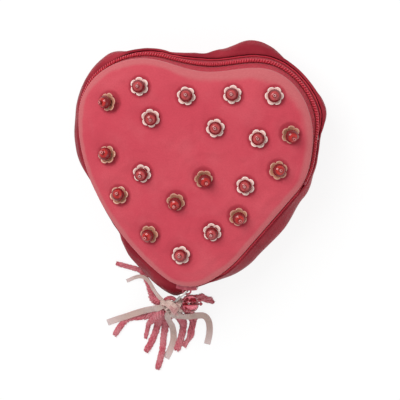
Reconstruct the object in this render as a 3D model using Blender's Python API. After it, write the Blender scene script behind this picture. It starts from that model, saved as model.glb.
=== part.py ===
# Heart-shaped vanity bag with a padded velvet lid, a coil zip and a tassel pull.
# Metres, +Z up. The bag lies on its back panel: +Y runs from the tip to the cleft,
# and the origin is on the underside of the back panel, below the middle of the heart.
import math

import bmesh
import bpy
from mathutils import Matrix, Vector

# Driving dimensions of the heart, seen from above
TIP_RADIUS = 0.021
RIGHT_TIP_TURN = math.radians(34.0)
LEFT_TIP_TURN = math.radians(31.0)
SHOULDER_RADIUS = 0.063
FLANK_LENGTH = 0.042
FLANK_LEAN = math.radians(35.5)
RIGHT_WIDTH = 0.0592
RIGHT_WIDEST_FROM_TIP = 0.080
LEFT_WIDTH = 0.0637
LEFT_WIDEST_FROM_TIP = 0.086
LEFT_TIP_HANDLE = 0.030
LEFT_SIDE_HANDLE = 0.034
LOBE_TOP_FROM_TIP = 0.1168
LOBE_TOP_ACROSS = 0.0295
CLEFT_FROM_TIP = 0.1126
ORIGIN_FROM_TIP = 0.058
SIDE_HANDLE_SHARE = 0.8

# Heights
LID_HEM_Z = 0.0396
CHAIN_Z = 0.0347
GUSSET_TOP_Z = 0.0305
CROWN_HEIGHT = 0.0039
EDGE_ROLL_HEIGHT = 0.003

# Stock thicknesses, and the clearance kept between pieces
COVER_THICK = 0.0008
BACK_THICK = 0.001
BOARD_THICK = 0.0008
LINING_THICK = 0.0004
TAPE_THICK = 0.0005
BINDING_THICK = 0.0006
GUSSET_THICK = 0.0009
GAP = 0.0003

# The zip: two rows of coil sewn on the outer face of two tapes
TAPE_INSET = 0.0006
CHAIN_WIDTH = 0.004
COIL_THICK = 0.0014
COIL_PITCH = 0.0025
TOOTH_HEIGHT = 0.0011
MESH_GAP = 0.00048
COIL_EASE = 0.0005
GROOVE = 0.0011
OPEN_TOOTH_SHARE = 0.27
TAPE_UNDER_GUSSET = 0.0015
STOP_LENGTH = 0.0018

# How far the soft wall stands out beyond the lid's edge
GUSSET_FULLNESS = 0.01
ZIP_LEAN = 0.0061
BASE_OUT = 0.0015
HINGE_OUT = 0.0003

# How far the flat pieces stop short of the lid's edge
HEM_WIDTH = 0.005
ROLL_INSET = 0.0013
LID_LINING_INSET = 0.002
FOAM_INSET = 0.0031
BACK_INSET = 0.0012
BINDING_WIDTH = 0.0024
LINING_EASE = 0.0006

# The slider and its pull
SLIDER_LENGTH = 0.010
PLATE_THICK = 0.001
LIP_THICK = 0.001
INNER_EASE = 0.0008
WEB_LENGTH = 0.0026
WEB_THICK = 0.0005
BRIDGE_SPAN = 0.0052
BRIDGE_WIDTH = 0.0016
BRIDGE_THICK = 0.0008
TAB_WIDTH = 0.0054
TAB_THICK = 0.001
TAB_BAR = 0.0012
TAB_WINDOW = 0.004
TAB_REACH = 0.009
TAB_HOLE_RADIUS = 0.001
TAB_RIM = 0.0009
TAB_END_SHARE = 0.75
PULL_DIRECTION = math.radians(226.7)
RING_RADIUS = 0.0022
RING_WIRE = 0.0004

# The tassel
LOOP_RADIUS = 0.0016
LOOP_WIRE = 0.0005
KNOT_RADIUS = 0.0032
KNOT_HEIGHT = 0.0072
GLASS_BEAD_RADIUS = 0.004
BEAD_BORE_RADIUS = 0.0007
BEAD_REACH = 0.0112
BEAD_DROP = 0.0062
BEAD_DIRECTION = math.radians(8.2)
THREAD_RADIUS = 0.0004
YARN_RADIUS = 0.0011
RIBBON_THICK = 0.0005
WIDE_RIBBON = 0.0036
NARROW_RIBBON = 0.0021

# The flowers sewn on the lid
SEQUIN_RADIUS = 0.005
SEQUIN_DISH = 0.0012
SEQUIN_THICK = 0.0004
RUBY_RADIUS = 0.0031
SEED_RADIUS = 0.0011

# Number of straight pieces in each stretch of the half outline
TIP_STEPS = 4
SHOULDER_STEPS = 2
FLANK_STEPS = 4
SIDE_STEPS = 4
LOBE_STEPS = 7
DIP_STEPS = 4
LEFT_SIDE_STEPS = SHOULDER_STEPS + FLANK_STEPS + SIDE_STEPS
HALF_STEPS = TIP_STEPS + LEFT_SIDE_STEPS + LOBE_STEPS + DIP_STEPS

# Stations are counted from the tip round the right side to the cleft and back down the left side
TIP_STATION = 2 * HALF_STEPS
FLANK_STATION = TIP_STEPS + SHOULDER_STEPS
FLANK_END_STATION = FLANK_STATION + FLANK_STEPS

# How full the wall is at its middle and how far the zip leans out, against station
FULLNESS_SHARES = (
    (0, 0.50), (3, 0.18), (6, 0.60), (8, 0.70), (10, 0.40), (12, 0.22), (14, 0.22), (16, 0.65),
    (18, 0.50), (19, 0.50), (22, 1.38), (24, 1.25), (26, 0.80), (28, 0.38), (30, 0.42), (32, 0.78),
    (34, 0.62), (36, 0.60), (38, 0.80), (40, 0.46), (42, 0.60), (44, 1.20), (46, 1.40), (48, 0.90),
    (50, 0.50),
)
LEAN_SHARES = (
    (0, 0.0), (10, 0.0), (14, 0.20), (16, 0.80), (18, 0.75), (22, 1.0), (25, 1.0), (28, 0.60),
    (33, 0.25), (36, 0.0), (50, 0.0),
)
# Where the wall runs up to the lid instead of stopping below the zip, and where the coils mesh
HINGE_SHARES = ((0, 0.0), (4, 0.0), (5, 1.0), (10, 1.0), (11, 0.0), (50, 0.0))
MESHED_SHARES = ((0, 0.0), (6, 0.0), (11, 1.0), (44, 1.0), (46, 0.0), (50, 0.0))

# Rings of the lid's crown: share of the way out, and share of the crown's height
CROWN_SHARES = ((0.18, 1.0), (0.48, 0.97), (0.76, 0.80), (0.93, 0.42))
WALL_SHARES = (0.0, 0.12, 0.32, 0.58, 0.82, 1.0)
LINING_SHARES = (0.0, 0.14, 0.3, 0.62)
LINING_TURN_SHARES = (0.34, 0.68, 1.0)
KNOT_SHARES = ((0.35, 0.0), (0.72, 0.10), (0.94, 0.24), (0.80, 0.45), (0.86, 0.52), (0.98, 0.72), (0.72, 1.0))
PETAL_SHARES = (1.0, 0.80)

# Places of the flowers: across as a share of the width to that side, along as a share of the lid's
# length from the tip, the way each stack leans (degrees, seen from above) and how far it leans
FLOWER_SHARES = (
    (-0.498, 0.876, 90, 2), (-0.735, 0.797, 187, 30), (-0.111, 0.852, 60, 7), (0.279, 0.876, 90, 2),
    (0.637, 0.885, 30, 6), (-0.385, 0.743, -35, 10), (0.158, 0.724, 20, 4), (0.536, 0.695, 80, 2),
    (0.804, 0.728, -40, 26), (-0.717, 0.562, 135, 18), (-0.419, 0.496, -90, 8), (0.727, 0.565, 20, 16),
    (0.090, 0.500, -35, 26), (0.461, 0.483, 90, 2), (-0.596, 0.386, 95, 14), (-0.124, 0.386, -85, 16),
    (0.419, 0.346, -35, 18), (-0.320, 0.228, -130, 14), (0.207, 0.266, -80, 8), (-0.048, 0.147, 90, 3),
)

# Strands of the tassel: points chosen by hand along each one, from the knot to its loose end
RIBBON_ROUTES = {
    "ribbon_left": (WIDE_RIBBON, (
        (-0.0126, -0.0726, 0.0312), (-0.0168, -0.0746, 0.0272), (-0.0208, -0.0776, 0.0172),
        (-0.0260, -0.0810, 0.0070), (-0.0310, -0.0836, 0.0036), (-0.0370, -0.0864, 0.0033),
        (-0.0420, -0.0888, 0.0018), (-0.0482, -0.0919, 0.0006))),
    "ribbon_front": (WIDE_RIBBON, (
        (-0.0097, -0.0752, 0.0312), (-0.0102, -0.0785, 0.0275), (-0.0104, -0.0820, 0.0185),
        (-0.0100, -0.0870, 0.0085), (-0.0098, -0.0925, 0.0020), (-0.0098, -0.0985, 0.0006),
        (-0.0112, -0.1040, 0.0006), (-0.0130, -0.1086, 0.0006))),
    "ribbon_right": (WIDE_RIBBON, (
        (-0.0063, -0.0738, 0.0312), (-0.0045, -0.0765, 0.0282), (-0.0030, -0.0788, 0.0215),
        (-0.0004, -0.0801, 0.0145), (0.0034, -0.0804, 0.0085), (0.0072, -0.0812, 0.0040),
        (0.0096, -0.0850, 0.0012), (0.0104, -0.0912, 0.0006), (0.0096, -0.0978, 0.0006))),
    "ribbon_back": (NARROW_RIBBON, (
        (-0.0121, -0.0695, 0.0312), (-0.0158, -0.0682, 0.0275), (-0.0203, -0.0665, 0.0185),
        (-0.0243, -0.0643, 0.0105), (-0.0280, -0.0627, 0.0058), (-0.0317, -0.0629, 0.0034),
        (-0.0352, -0.0646, 0.0008), (-0.0390, -0.0668, 0.0006))),
}
YARN_ROUTES = {
    "yarn_far_left": (
        (-0.0135, -0.0714, 0.0262), (-0.0172, -0.0718, 0.0225), (-0.0207, -0.0716, 0.0165),
        (-0.0237, -0.0686, 0.0090), (-0.0270, -0.0648, 0.0034), (-0.0316, -0.0599, 0.0012),
        (-0.0384, -0.0585, 0.0011), (-0.0457, -0.0572, 0.0011)),
    "yarn_left": (
        (-0.0129, -0.0737, 0.0262), (-0.0163, -0.0765, 0.0205), (-0.0203, -0.0812, 0.0105),
        (-0.0245, -0.0848, 0.0027), (-0.0301, -0.0864, 0.0011), (-0.0366, -0.0883, 0.0011),
        (-0.0405, -0.0930, 0.0011), (-0.0436, -0.0988, 0.0011)),
    "yarn_short": (
        (-0.0122, -0.0747, 0.0289), (-0.0158, -0.0790, 0.0255), (-0.0203, -0.0842, 0.0165),
        (-0.0237, -0.0888, 0.0055), (-0.0249, -0.0933, 0.0011), (-0.0256, -0.0985, 0.0011)),
    "yarn_front_left": (
        (-0.0112, -0.0754, 0.0262), (-0.0135, -0.0789, 0.0205), (-0.0168, -0.0842, 0.0095),
        (-0.0190, -0.0892, 0.0020), (-0.0203, -0.0945, 0.0011), (-0.0222, -0.1005, 0.0011),
        (-0.0249, -0.1061, 0.0011)),
    "yarn_front": (
        (-0.0089, -0.0759, 0.0262), (-0.0107, -0.0796, 0.0198), (-0.0134, -0.0845, 0.0094),
        (-0.0147, -0.0895, 0.0020), (-0.0153, -0.0960, 0.0011), (-0.0154, -0.1030, 0.0011),
        (-0.0163, -0.1095, 0.0011), (-0.0175, -0.1155, 0.0011)),
    "yarn_front_right": (
        (-0.0065, -0.0749, 0.0262), (-0.0056, -0.0785, 0.0200), (-0.0049, -0.0835, 0.0090),
        (-0.0046, -0.0885, 0.0016), (-0.0050, -0.0940, 0.0011), (-0.0062, -0.0992, 0.0011),
        (-0.0074, -0.1035, 0.0011)),
    "yarn_right": (
        (-0.0051, -0.0728, 0.0262), (-0.0022, -0.0750, 0.0192), (0.0000, -0.0796, 0.0090),
        (0.0006, -0.0850, 0.0020), (0.0003, -0.0905, 0.0011), (-0.0010, -0.0955, 0.0011),
        (-0.0034, -0.1008, 0.0011)),
    "yarn_far_right": (
        (-0.0051, -0.0702, 0.0262), (-0.0020, -0.0684, 0.0240), (0.0016, -0.0669, 0.0205),
        (0.0054, -0.0677, 0.0150), (0.0084, -0.0704, 0.0080), (0.0105, -0.0729, 0.0022),
        (0.0128, -0.0744, 0.0011)),
}

# Colour, roughness and metallic value of each finish
FINISHES = {
    "velvet": ((0.642, 0.094, 0.124), 0.9, 0.0),
    "satin": ((0.28, 0.024, 0.037), 0.35, 0.0),
    "lining": ((0.45, 0.10, 0.13), 0.55, 0.0),
    "card": ((0.55, 0.47, 0.36), 0.9, 0.0),
    "foam": ((0.80, 0.72, 0.55), 0.95, 0.0),
    "zip tape": ((0.34, 0.026, 0.045), 0.7, 0.0),
    "zip coil": ((0.42, 0.05, 0.075), 0.35, 0.0),
    "pink metal": ((0.55, 0.10, 0.13), 0.4, 0.3),
    "nickel": ((0.72, 0.70, 0.67), 0.25, 1.0),
    "pearl sequin": ((0.85, 0.55, 0.47), 0.25, 0.0),
    "clear glass": ((0.86, 0.80, 0.80), 0.03, 0.0),
    "ribbon": ((0.629, 0.413, 0.364), 0.5, 0.0),
    "yarn": ((0.53, 0.13, 0.16), 0.9, 0.0),
}

UP = Vector((0, 0, 1))


def make_material(name):
    colour, roughness, metallic = FINISHES[name]
    material = bpy.data.materials.new(name)
    material.use_nodes = True
    shader = material.node_tree.nodes["Principled BSDF"]
    shader.inputs["Base Color"].default_value = (*colour, 1.0)
    shader.inputs["Roughness"].default_value = roughness
    shader.inputs["Metallic"].default_value = metallic
    return material


def add_object(name, data, finish, parent):
    """Links a mesh or a curve, already drawn about its parent's origin."""
    obj = bpy.data.objects.new(name, data)
    bpy.context.scene.collection.objects.link(obj)
    data.materials.append(MATERIALS[finish])
    obj.parent = parent
    return obj


def add_mesh(name, bm, finish, parent):
    """Closes off a bmesh drawn in world coordinates and links it under its parent."""
    bmesh.ops.recalc_face_normals(bm, faces=bm.faces)
    mesh = bpy.data.meshes.new(name)
    bm.to_mesh(mesh)
    bm.free()
    mesh.transform(parent.matrix_world.inverted())
    mesh.shade_smooth()
    mesh.set_sharp_from_angle(angle=math.radians(40))
    return add_object(name, mesh, finish, parent)


def add_pivot(name, place):
    pivot = bpy.data.objects.new(name, None)
    bpy.context.scene.collection.objects.link(pivot)
    pivot.location = place
    pivot.empty_display_size = TIP_RADIUS
    bpy.context.view_layer.update()
    return pivot


def join_to(obj, pieces):
    """Unites helper pieces with an object, and keeps the helpers out of the model."""
    for piece in pieces:
        join = obj.modifiers.new("Join " + piece.name, "BOOLEAN")
        join.operation = "UNION"
        join.solver = "EXACT"
        join.object = piece
        piece.hide_render = True
        piece.display_type = "WIRE"


def add_loft(bm, loops, closed=False):
    """Skins a run of loops that have the same number of points, and caps it unless it closes on itself."""
    rows = [[bm.verts.new(point) for point in loop] for loop in loops]
    count = len(rows[0])
    pairs = list(zip(rows, rows[1:]))
    if closed:
        pairs.append((rows[-1], rows[0]))
    for first, second in pairs:
        for i in range(count):
            j = (i + 1) % count
            bm.faces.new((first[i], first[j], second[j], second[i]))
    if not closed:
        bm.faces.new(rows[0])
        bm.faces.new(rows[-1])


def lofted(name, loops, finish, parent, closed=False):
    bm = bmesh.new()
    add_loft(bm, loops, closed)
    return add_mesh(name, bm, finish, parent)


# The heart's outline

def mix(a, b, share):
    return a + (b - a) * share


def on_arc(start, radius, first, last, steps):
    """Points of an arc that leaves its start at one slope and ends at another."""
    points = []
    for i in range(1, steps + 1):
        slope = mix(first, last, i / steps)
        across = radius * (math.sin(slope) - math.sin(first))
        points.append(start + Vector((across, radius * (math.cos(first) - math.cos(slope)))))
    return points


def on_curve(start, first, second, end, steps):
    """Points of a cubic curve with two handles."""
    points = []
    for i in range(1, steps + 1):
        t = i / steps
        a = start.lerp(first, t)
        b = first.lerp(second, t)
        c = second.lerp(end, t)
        points.append(a.lerp(b, t).lerp(b.lerp(c, t), t))
    return points


def lobe(wide):
    """Points from the widest place of a lobe over its top to the cleft."""
    points = []
    for i in range(1, LOBE_STEPS + 1):
        angle = math.pi / 2 * i / LOBE_STEPS
        across = mix(LOBE_TOP_ACROSS, wide.x, math.cos(angle))
        points.append(Vector((across, mix(wide.y, LOBE_TOP_FROM_TIP, math.sin(angle)))))
    for i in range(1, DIP_STEPS + 1):
        share = i / DIP_STEPS
        rise = (1 + math.cos(math.pi * share)) / 2
        points.append(Vector((LOBE_TOP_ACROSS * (1 - share), mix(CLEFT_FROM_TIP, LOBE_TOP_FROM_TIP, rise))))
    return points


def right_half():
    """Right half of the lid's edge from the tip to the cleft, with the straight flank of the hinge."""
    slope = math.pi / 2 - FLANK_LEAN
    along = Vector((math.sin(FLANK_LEAN), math.cos(FLANK_LEAN)))
    wide = Vector((RIGHT_WIDTH, RIGHT_WIDEST_FROM_TIP))
    points = [Vector((0, 0))]
    points += on_arc(points[-1], TIP_RADIUS, 0, RIGHT_TIP_TURN, TIP_STEPS)
    points += on_arc(points[-1], SHOULDER_RADIUS, RIGHT_TIP_TURN, slope, SHOULDER_STEPS)
    start = points[-1]
    for i in range(1, FLANK_STEPS + 1):
        points.append(start + along * FLANK_LENGTH * i / FLANK_STEPS)
    start = points[-1]
    corner = start + along * (wide.x - start.x) / along.x
    first = start.lerp(corner, SIDE_HANDLE_SHARE)
    points += on_curve(start, first, wide.lerp(corner, SIDE_HANDLE_SHARE), wide, SIDE_STEPS)
    return points + lobe(wide)


def left_half():
    """Left half of the lid's edge, fuller than the right one, as distances to the left of the tip."""
    wide = Vector((LEFT_WIDTH, LEFT_WIDEST_FROM_TIP))
    points = [Vector((0, 0))]
    points += on_arc(points[-1], TIP_RADIUS, 0, LEFT_TIP_TURN, TIP_STEPS)
    first = points[-1] + Vector((math.cos(LEFT_TIP_TURN), math.sin(LEFT_TIP_TURN))) * LEFT_TIP_HANDLE
    second = wide - Vector((0, LEFT_SIDE_HANDLE))
    points += on_curve(points[-1], first, second, wide, LEFT_SIDE_STEPS)
    return points + lobe(wide)


def heart_stations():
    """Points round the lid's edge from the tip, anticlockwise from above, each with its outward normal."""
    points = right_half() + [Vector((-p.x, p.y)) for p in reversed(left_half()[1:-1])]
    points = [p - Vector((0, ORIGIN_FROM_TIP)) for p in points]
    normals = []
    for i, point in enumerate(points):
        before = (point - points[i - 1]).normalized()
        after = (points[(i + 1) % len(points)] - point).normalized()
        along = (before + after).normalized()
        normals.append(Vector((along.y, -along.x)))
    return points, normals


EDGE, NORMALS = heart_stations()


def from_shares(table, station):
    """Reads a table of (station, share), with a smooth step between its rows."""
    station = station % TIP_STATION
    for (first, low), (second, high) in zip(table, table[1:]):
        if first <= station <= second:
            t = (station - first) / (second - first)
            return mix(low, high, t * t * (3 - 2 * t))
    return table[-1][1]


def at(station, out, z):
    """A point beyond the lid's edge, at any station and also between two of them."""
    first = math.floor(station) % TIP_STATION
    second = (first + 1) % TIP_STATION
    share = station - math.floor(station)
    place = EDGE[first].lerp(EDGE[second], share)
    normal = NORMALS[first].lerp(NORMALS[second], share).normalized()
    return Vector((place.x + normal.x * out, place.y + normal.y * out, z))


def outline(out, z):
    """The whole heart, offset by out and set at height z."""
    return [at(i, out, z) for i in range(TIP_STATION)]


def crown(edge_z, inset):
    """Rings of a crowned top, from its edge to its middle."""
    edge = outline(-inset, edge_z)
    rings = []
    for share, rise in reversed(CROWN_SHARES):
        rings.append([Vector((p.x * share, p.y * share, edge_z + CROWN_HEIGHT * rise)) for p in edge])
    return rings


def plate(name, finish, parent, inset, low, high):
    lofted(name, [outline(-inset, low), outline(-inset, high)], finish, parent)


def strip(name, finish, parent, section, stations=None):
    """A solid that follows the edge. section(station) gives its (out, z) points."""
    closed = stations is None
    stations = stations or range(TIP_STATION)
    loops = [[at(s, out, z) for out, z in section(s)] for s in stations]
    bm = bmesh.new()
    add_loft(bm, loops, closed)
    # Split along the shorter diagonals, so that both sides of the cloth fold the same way
    quads = [face for face in bm.faces if len(face.verts) == 4]
    bmesh.ops.triangulate(bm, faces=quads, quad_method="SHORT_EDGE")
    add_mesh(name, bm, finish, parent)


def flat_ring(name, finish, parent, inset, width, low, high):
    section = ((-inset, low), (-inset, high), (-inset - width, high), (-inset - width, low))
    loops = [[at(s, out, z) for out, z in section] for s in range(0, TIP_STATION, 2)]
    lofted(name, loops, finish, parent, closed=True)


# The zip

LID_TAPE_TOP_Z = LID_HEM_Z - GAP
COIL_INNER = TAPE_THICK / 2 + COIL_EASE
COIL_OUTER = COIL_INNER + COIL_THICK


def band_out(station, z):
    """How far the middle of the zip's tape lies beyond the lid's edge at height z."""
    share = min(1.0, (LID_TAPE_TOP_Z - z) / (LID_TAPE_TOP_Z - GUSSET_TOP_Z))
    first = math.floor(station)
    near = from_shares(LEAN_SHARES, first)
    far = from_shares(LEAN_SHARES, first + 1)
    return -TAPE_INSET + ZIP_LEAN * mix(near, far, station - first) * share


def band_section(station, low, high, inner, outer):
    """A rectangle on the zip's band, between two heights and two distances out of the tape's middle."""
    return (
        (band_out(station, high) + inner, high), (band_out(station, high) + outer, high),
        (band_out(station, low) + outer, low), (band_out(station, low) + inner, low),
    )


def tape_section(station, heights):
    """Tape through a run of heights, from the lowest up the outer face and down the inner one."""
    half = TAPE_THICK / 2
    outer = [(band_out(station, z) + half, z) for z in heights]
    return outer + [(out - TAPE_THICK, z) for out, z in reversed(outer)]


def station_after(station, length):
    """The station that lies a length further along the edge."""
    while True:
        corner = math.floor(station) + 1
        left = (at(corner, 0, 0) - at(station, 0, 0)).length
        if length <= left:
            return mix(station, corner, length / left)
        length -= left
        station = corner


def tooth_places(first, last):
    places = [first]
    while places[-1] < last:
        places.append(station_after(places[-1], COIL_PITCH / 2))
    return places[:-1]


def tooth_z(place, is_high, side):
    """Height of the coil's edge. The two rows mesh tooth into tooth, or stand clear of the slider's web."""
    share = from_shares(MESHED_SHARES, place)
    wave = TOOTH_HEIGHT / 2 if is_high else -TOOTH_HEIGHT / 2
    meshed = MESH_GAP / 2 * side + wave
    away = TOOTH_HEIGHT * OPEN_TOOTH_SHARE if is_high == (side > 0) else 0.0
    apart = (GROOVE / 2 + away) * side
    return CHAIN_Z + mix(apart, meshed, share)


def make_coil(name, parent, side, first, last):
    """One row of the zip's coil. side is 1 for the row on the lid and -1 for the row on the bag."""
    teeth_per_face = 3
    places = tooth_places(first, last)
    bm = bmesh.new()

    def pair(place, z):
        return [bm.verts.new(at(place, band_out(place, z) + w, z)) for w in (COIL_INNER, COIL_OUTER)]

    crest = [pair(place, tooth_z(place, i % 2 == 1, side)) for i, place in enumerate(places)]
    marks = [0]
    for i in range(1, len(places)):
        at_corner = math.floor(places[i]) > math.floor(places[i - 1])
        if at_corner or i - marks[-1] == 2 * teeth_per_face or i == len(places) - 1:
            marks.append(i)
    spine = [pair(places[i], CHAIN_Z + side * CHAIN_WIDTH / 2) for i in marks]
    for k in range(len(marks) - 1):
        start, end = spine[k], spine[k + 1]
        teeth = crest[marks[k]:marks[k + 1] + 1]
        for face in (0, 1):
            bm.faces.new([start[face]] + [tooth[face] for tooth in teeth] + [end[face]])
        bm.faces.new((start[0], start[1], end[1], end[0]))
        for a, b in zip(teeth, teeth[1:]):
            bm.faces.new((a[0], a[1], b[1], b[0]))
    bm.faces.new((*spine[0], crest[0][1], crest[0][0]))
    bm.faces.new((*spine[-1], crest[-1][1], crest[-1][0]))
    add_mesh(name, bm, "zip coil", parent)


def make_stop(name, parent, first, last):
    """A crimped stop that ends the bag's row of coil."""
    low = CHAIN_Z - CHAIN_WIDTH / 2
    high = CHAIN_Z - GROOVE / 2
    stations = [first] + list(range(math.floor(first) + 1, math.ceil(last))) + [last]
    strip(name, "nickel", parent, lambda s: band_section(s, low, high, COIL_INNER, COIL_OUTER), stations)


def slider_half_angle():
    return SLIDER_LENGTH / 2 / TIP_RADIUS


def slider_end_station():
    """Station of the slider's closed end, with the slider at rest on the tip."""
    return TIP_STATION - SLIDER_LENGTH / 2 / (EDGE[-1] - EDGE[0]).length


def make_zip(bag, lid):
    coil_start = FLANK_END_STATION + 1
    tape_stations = list(range(FLANK_END_STATION, TIP_STATION + FLANK_STATION))
    bag_heights = (GUSSET_TOP_Z - TAPE_UNDER_GUSSET, GUSSET_TOP_Z, CHAIN_Z - GROOVE / 2)
    strip("bag_zip_tape", "zip tape", bag, lambda s: tape_section(s, bag_heights), tape_stations)
    lid_start = FLANK_END_STATION + 0.55
    lid_end = TIP_STATION + FLANK_STATION - 1.55
    lid_stations = [lid_start] + [s for s in tape_stations if lid_start < s < lid_end] + [lid_end]
    lid_heights = (CHAIN_Z + GROOVE / 2, LID_TAPE_TOP_Z)
    strip("lid_zip_tape", "zip tape", lid, lambda s: tape_section(s, lid_heights), lid_stations)
    stop_end = station_after(coil_start, STOP_LENGTH)
    make_stop("zip_bottom_stop", bag, coil_start, stop_end)
    first_tooth = station_after(stop_end, GAP)
    make_coil("bag_zip_coil", bag, -1, first_tooth, TIP_STATION)
    make_coil("lid_zip_coil", lid, 1, first_tooth, slider_end_station())
    top_start = station_after(TIP_STATION, GAP)
    make_stop("zip_top_stop", bag, top_start, station_after(top_start, STOP_LENGTH))


# The lid

LID_FLOOR_Z = LID_HEM_Z + COVER_THICK
LID_EDGE_Z = LID_HEM_Z + EDGE_ROLL_HEIGHT
LID_BOARD_Z = LID_FLOOR_Z + GAP
LID_FOAM_Z = LID_BOARD_Z + BOARD_THICK + GAP


def make_lid_cover(parent):
    """Velvet shell: crowned top, rolled edge and a hem turned in below the board."""
    outer = [outline(-HEM_WIDTH, LID_HEM_Z), outline(-TAPE_INSET, LID_HEM_Z),
             outline(0, LID_HEM_Z + EDGE_ROLL_HEIGHT / 2), outline(-ROLL_INSET / 2, LID_EDGE_Z)]
    outer += crown(LID_EDGE_Z, 0)
    wall = COVER_THICK + TAPE_INSET / 2
    inner_edge_z = LID_EDGE_Z - COVER_THICK
    inner = [outline(-HEM_WIDTH, LID_FLOOR_Z), outline(-TAPE_INSET / 2 - wall, LID_FLOOR_Z),
             outline(-wall, LID_FLOOR_Z + (EDGE_ROLL_HEIGHT - COVER_THICK) / 2),
             outline(-ROLL_INSET / 2 - wall, inner_edge_z)]
    inner += crown(inner_edge_z, wall)
    lofted("lid_cover", outer[::-1] + inner, "velvet", parent)


def make_lid_foam(parent):
    rings = [outline(-FOAM_INSET, LID_FOAM_Z)] + crown(LID_EDGE_Z - COVER_THICK - GAP, FOAM_INSET)
    lofted("lid_foam", rings, "foam", parent)


def make_lid(parent):
    make_lid_cover(parent)
    make_lid_foam(parent)
    plate("lid_board", "card", parent, COVER_THICK + TAPE_INSET + GAP, LID_BOARD_Z, LID_BOARD_Z + BOARD_THICK)
    lining_z = LID_TAPE_TOP_Z - LINING_THICK
    plate("lid_lining", "lining", parent, LID_LINING_INSET, lining_z, LID_TAPE_TOP_Z)
    binding_top = lining_z - GAP
    flat_ring("lid_binding", "satin", parent, LID_LINING_INSET + BINDING_THICK, BINDING_WIDTH,
              binding_top - BINDING_THICK, binding_top)


# The bag below the lid

WALL_LOW_Z = BACK_THICK + GAP
HINGE_TOP_Z = LID_HEM_Z - 2 * GAP
BACK_LINING_Z = WALL_LOW_Z + BOARD_THICK + GAP
BASE_TAPE_Z = BACK_LINING_Z + LINING_THICK + GAP


def wall_top_z(station):
    return mix(GUSSET_TOP_Z, HINGE_TOP_Z, from_shares(HINGE_SHARES, station))


def wall_outer(station):
    """Outer face of the soft wall as (out, z), from the base seam up."""
    fullness = GUSSET_FULLNESS * from_shares(FULLNESS_SHARES, station)
    high = wall_top_z(station)
    top_out = band_out(station, high) + TAPE_THICK / 2 + GAP + GUSSET_THICK
    swell = fullness - (BASE_OUT + top_out) / 2
    points = []
    for share in WALL_SHARES:
        bulge = (4 * share * (1 - share)) ** 0.7
        points.append((mix(BASE_OUT, top_out, share) + swell * bulge, mix(WALL_LOW_Z, high, share)))
    return points


def wall_section(station):
    outer = wall_outer(station)
    return outer + [(out - GUSSET_THICK, z) for out, z in reversed(outer)]


def wall_inner_at(station, z):
    rows = wall_outer(station)
    for (near, low), (far, high) in zip(rows, rows[1:]):
        if z <= high:
            return mix(near, far, (z - low) / (high - low)) - GUSSET_THICK
    return rows[-1][0] - GUSSET_THICK


def lining_section(station):
    """The lining keeps inside the wall, and passes inside the tape from its lower edge up."""
    low = BASE_TAPE_Z + BINDING_THICK + GAP
    below_tape = GUSSET_TOP_Z - TAPE_UNDER_GUSSET - GAP
    points = []
    for share in LINING_SHARES:
        z = mix(low, below_tape, share)
        points.append((wall_inner_at(station, z) - LINING_EASE, z))
    wall_out, wall_z = points[-1]
    tape_out = band_out(station, below_tape) - TAPE_THICK / 2 - GAP
    for share in LINING_TURN_SHARES:
        points.append((mix(wall_out, tape_out, share), mix(wall_z, below_tape, share)))
    points.append((band_out(station, GUSSET_TOP_Z) - TAPE_THICK / 2 - GAP, GUSSET_TOP_Z))
    return points + [(out - LINING_THICK, z) for out, z in reversed(points)]


def make_bag(parent):
    cover = [outline(0, 0), outline(BASE_OUT, BACK_THICK / 2), outline(BASE_OUT, BACK_THICK)]
    lofted("back_cover", cover, "satin", parent)
    plate("back_board", "card", parent, BACK_INSET, WALL_LOW_Z, WALL_LOW_Z + BOARD_THICK)
    plate("back_lining", "lining", parent, BACK_INSET, BACK_LINING_Z, BACK_LINING_Z + LINING_THICK)
    flat_ring("base_binding", "satin", parent, BACK_INSET + BINDING_THICK, BINDING_WIDTH,
              BASE_TAPE_Z, BASE_TAPE_Z + BINDING_THICK)
    strip("gusset", "satin", parent, wall_section)
    strip("gusset_lining", "lining", parent, lining_section)
    make_hinge_strip(parent)


def make_hinge_strip(parent):
    """Cloth strip inside the straight flank, which the lid folds about."""
    first = station_after(FLANK_STATION - 1, GAP)
    last = FLANK_END_STATION - GAP * FLANK_STEPS / FLANK_LENGTH
    stations = [first] + list(range(FLANK_STATION, FLANK_END_STATION)) + [last]
    heights = (HINGE_TOP_Z - TAPE_UNDER_GUSSET, LID_TAPE_TOP_Z)
    strip("hinge_strip", "zip tape", parent, lambda s: tape_section(s, heights), stations)


# The slider, on the round tip

def on_tip(angle, out, z):
    """A point beyond the tape's middle, at an angle round the tip's centre, 0 at the tip."""
    radius = TIP_RADIUS - TAPE_INSET + out
    return Vector((TIP_CENTRE.x + radius * math.sin(angle), TIP_CENTRE.y - radius * math.cos(angle), z))


TIP_CENTRE = Vector((0, TIP_RADIUS - ORIGIN_FROM_TIP, 0))
PLATE_OUT = COIL_OUTER + GAP
BRIDGE_FOOT = PLATE_OUT + PLATE_THICK
BAR_CLEARANCE = math.hypot(TAB_BAR, TAB_THICK) / 2 + GAP
PIN_PLACE = on_tip(0, BRIDGE_FOOT + BAR_CLEARANCE, CHAIN_Z)


def sector(name, parent, start, end, section):
    """A piece that runs round the tip between two angles."""
    steps = 6
    loops = []
    for i in range(steps + 1):
        angle = mix(start, end, i / steps)
        loops.append([on_tip(angle, out, CHAIN_Z + z) for out, z in section])
    return lofted(name, loops, "pink metal", parent)


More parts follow.
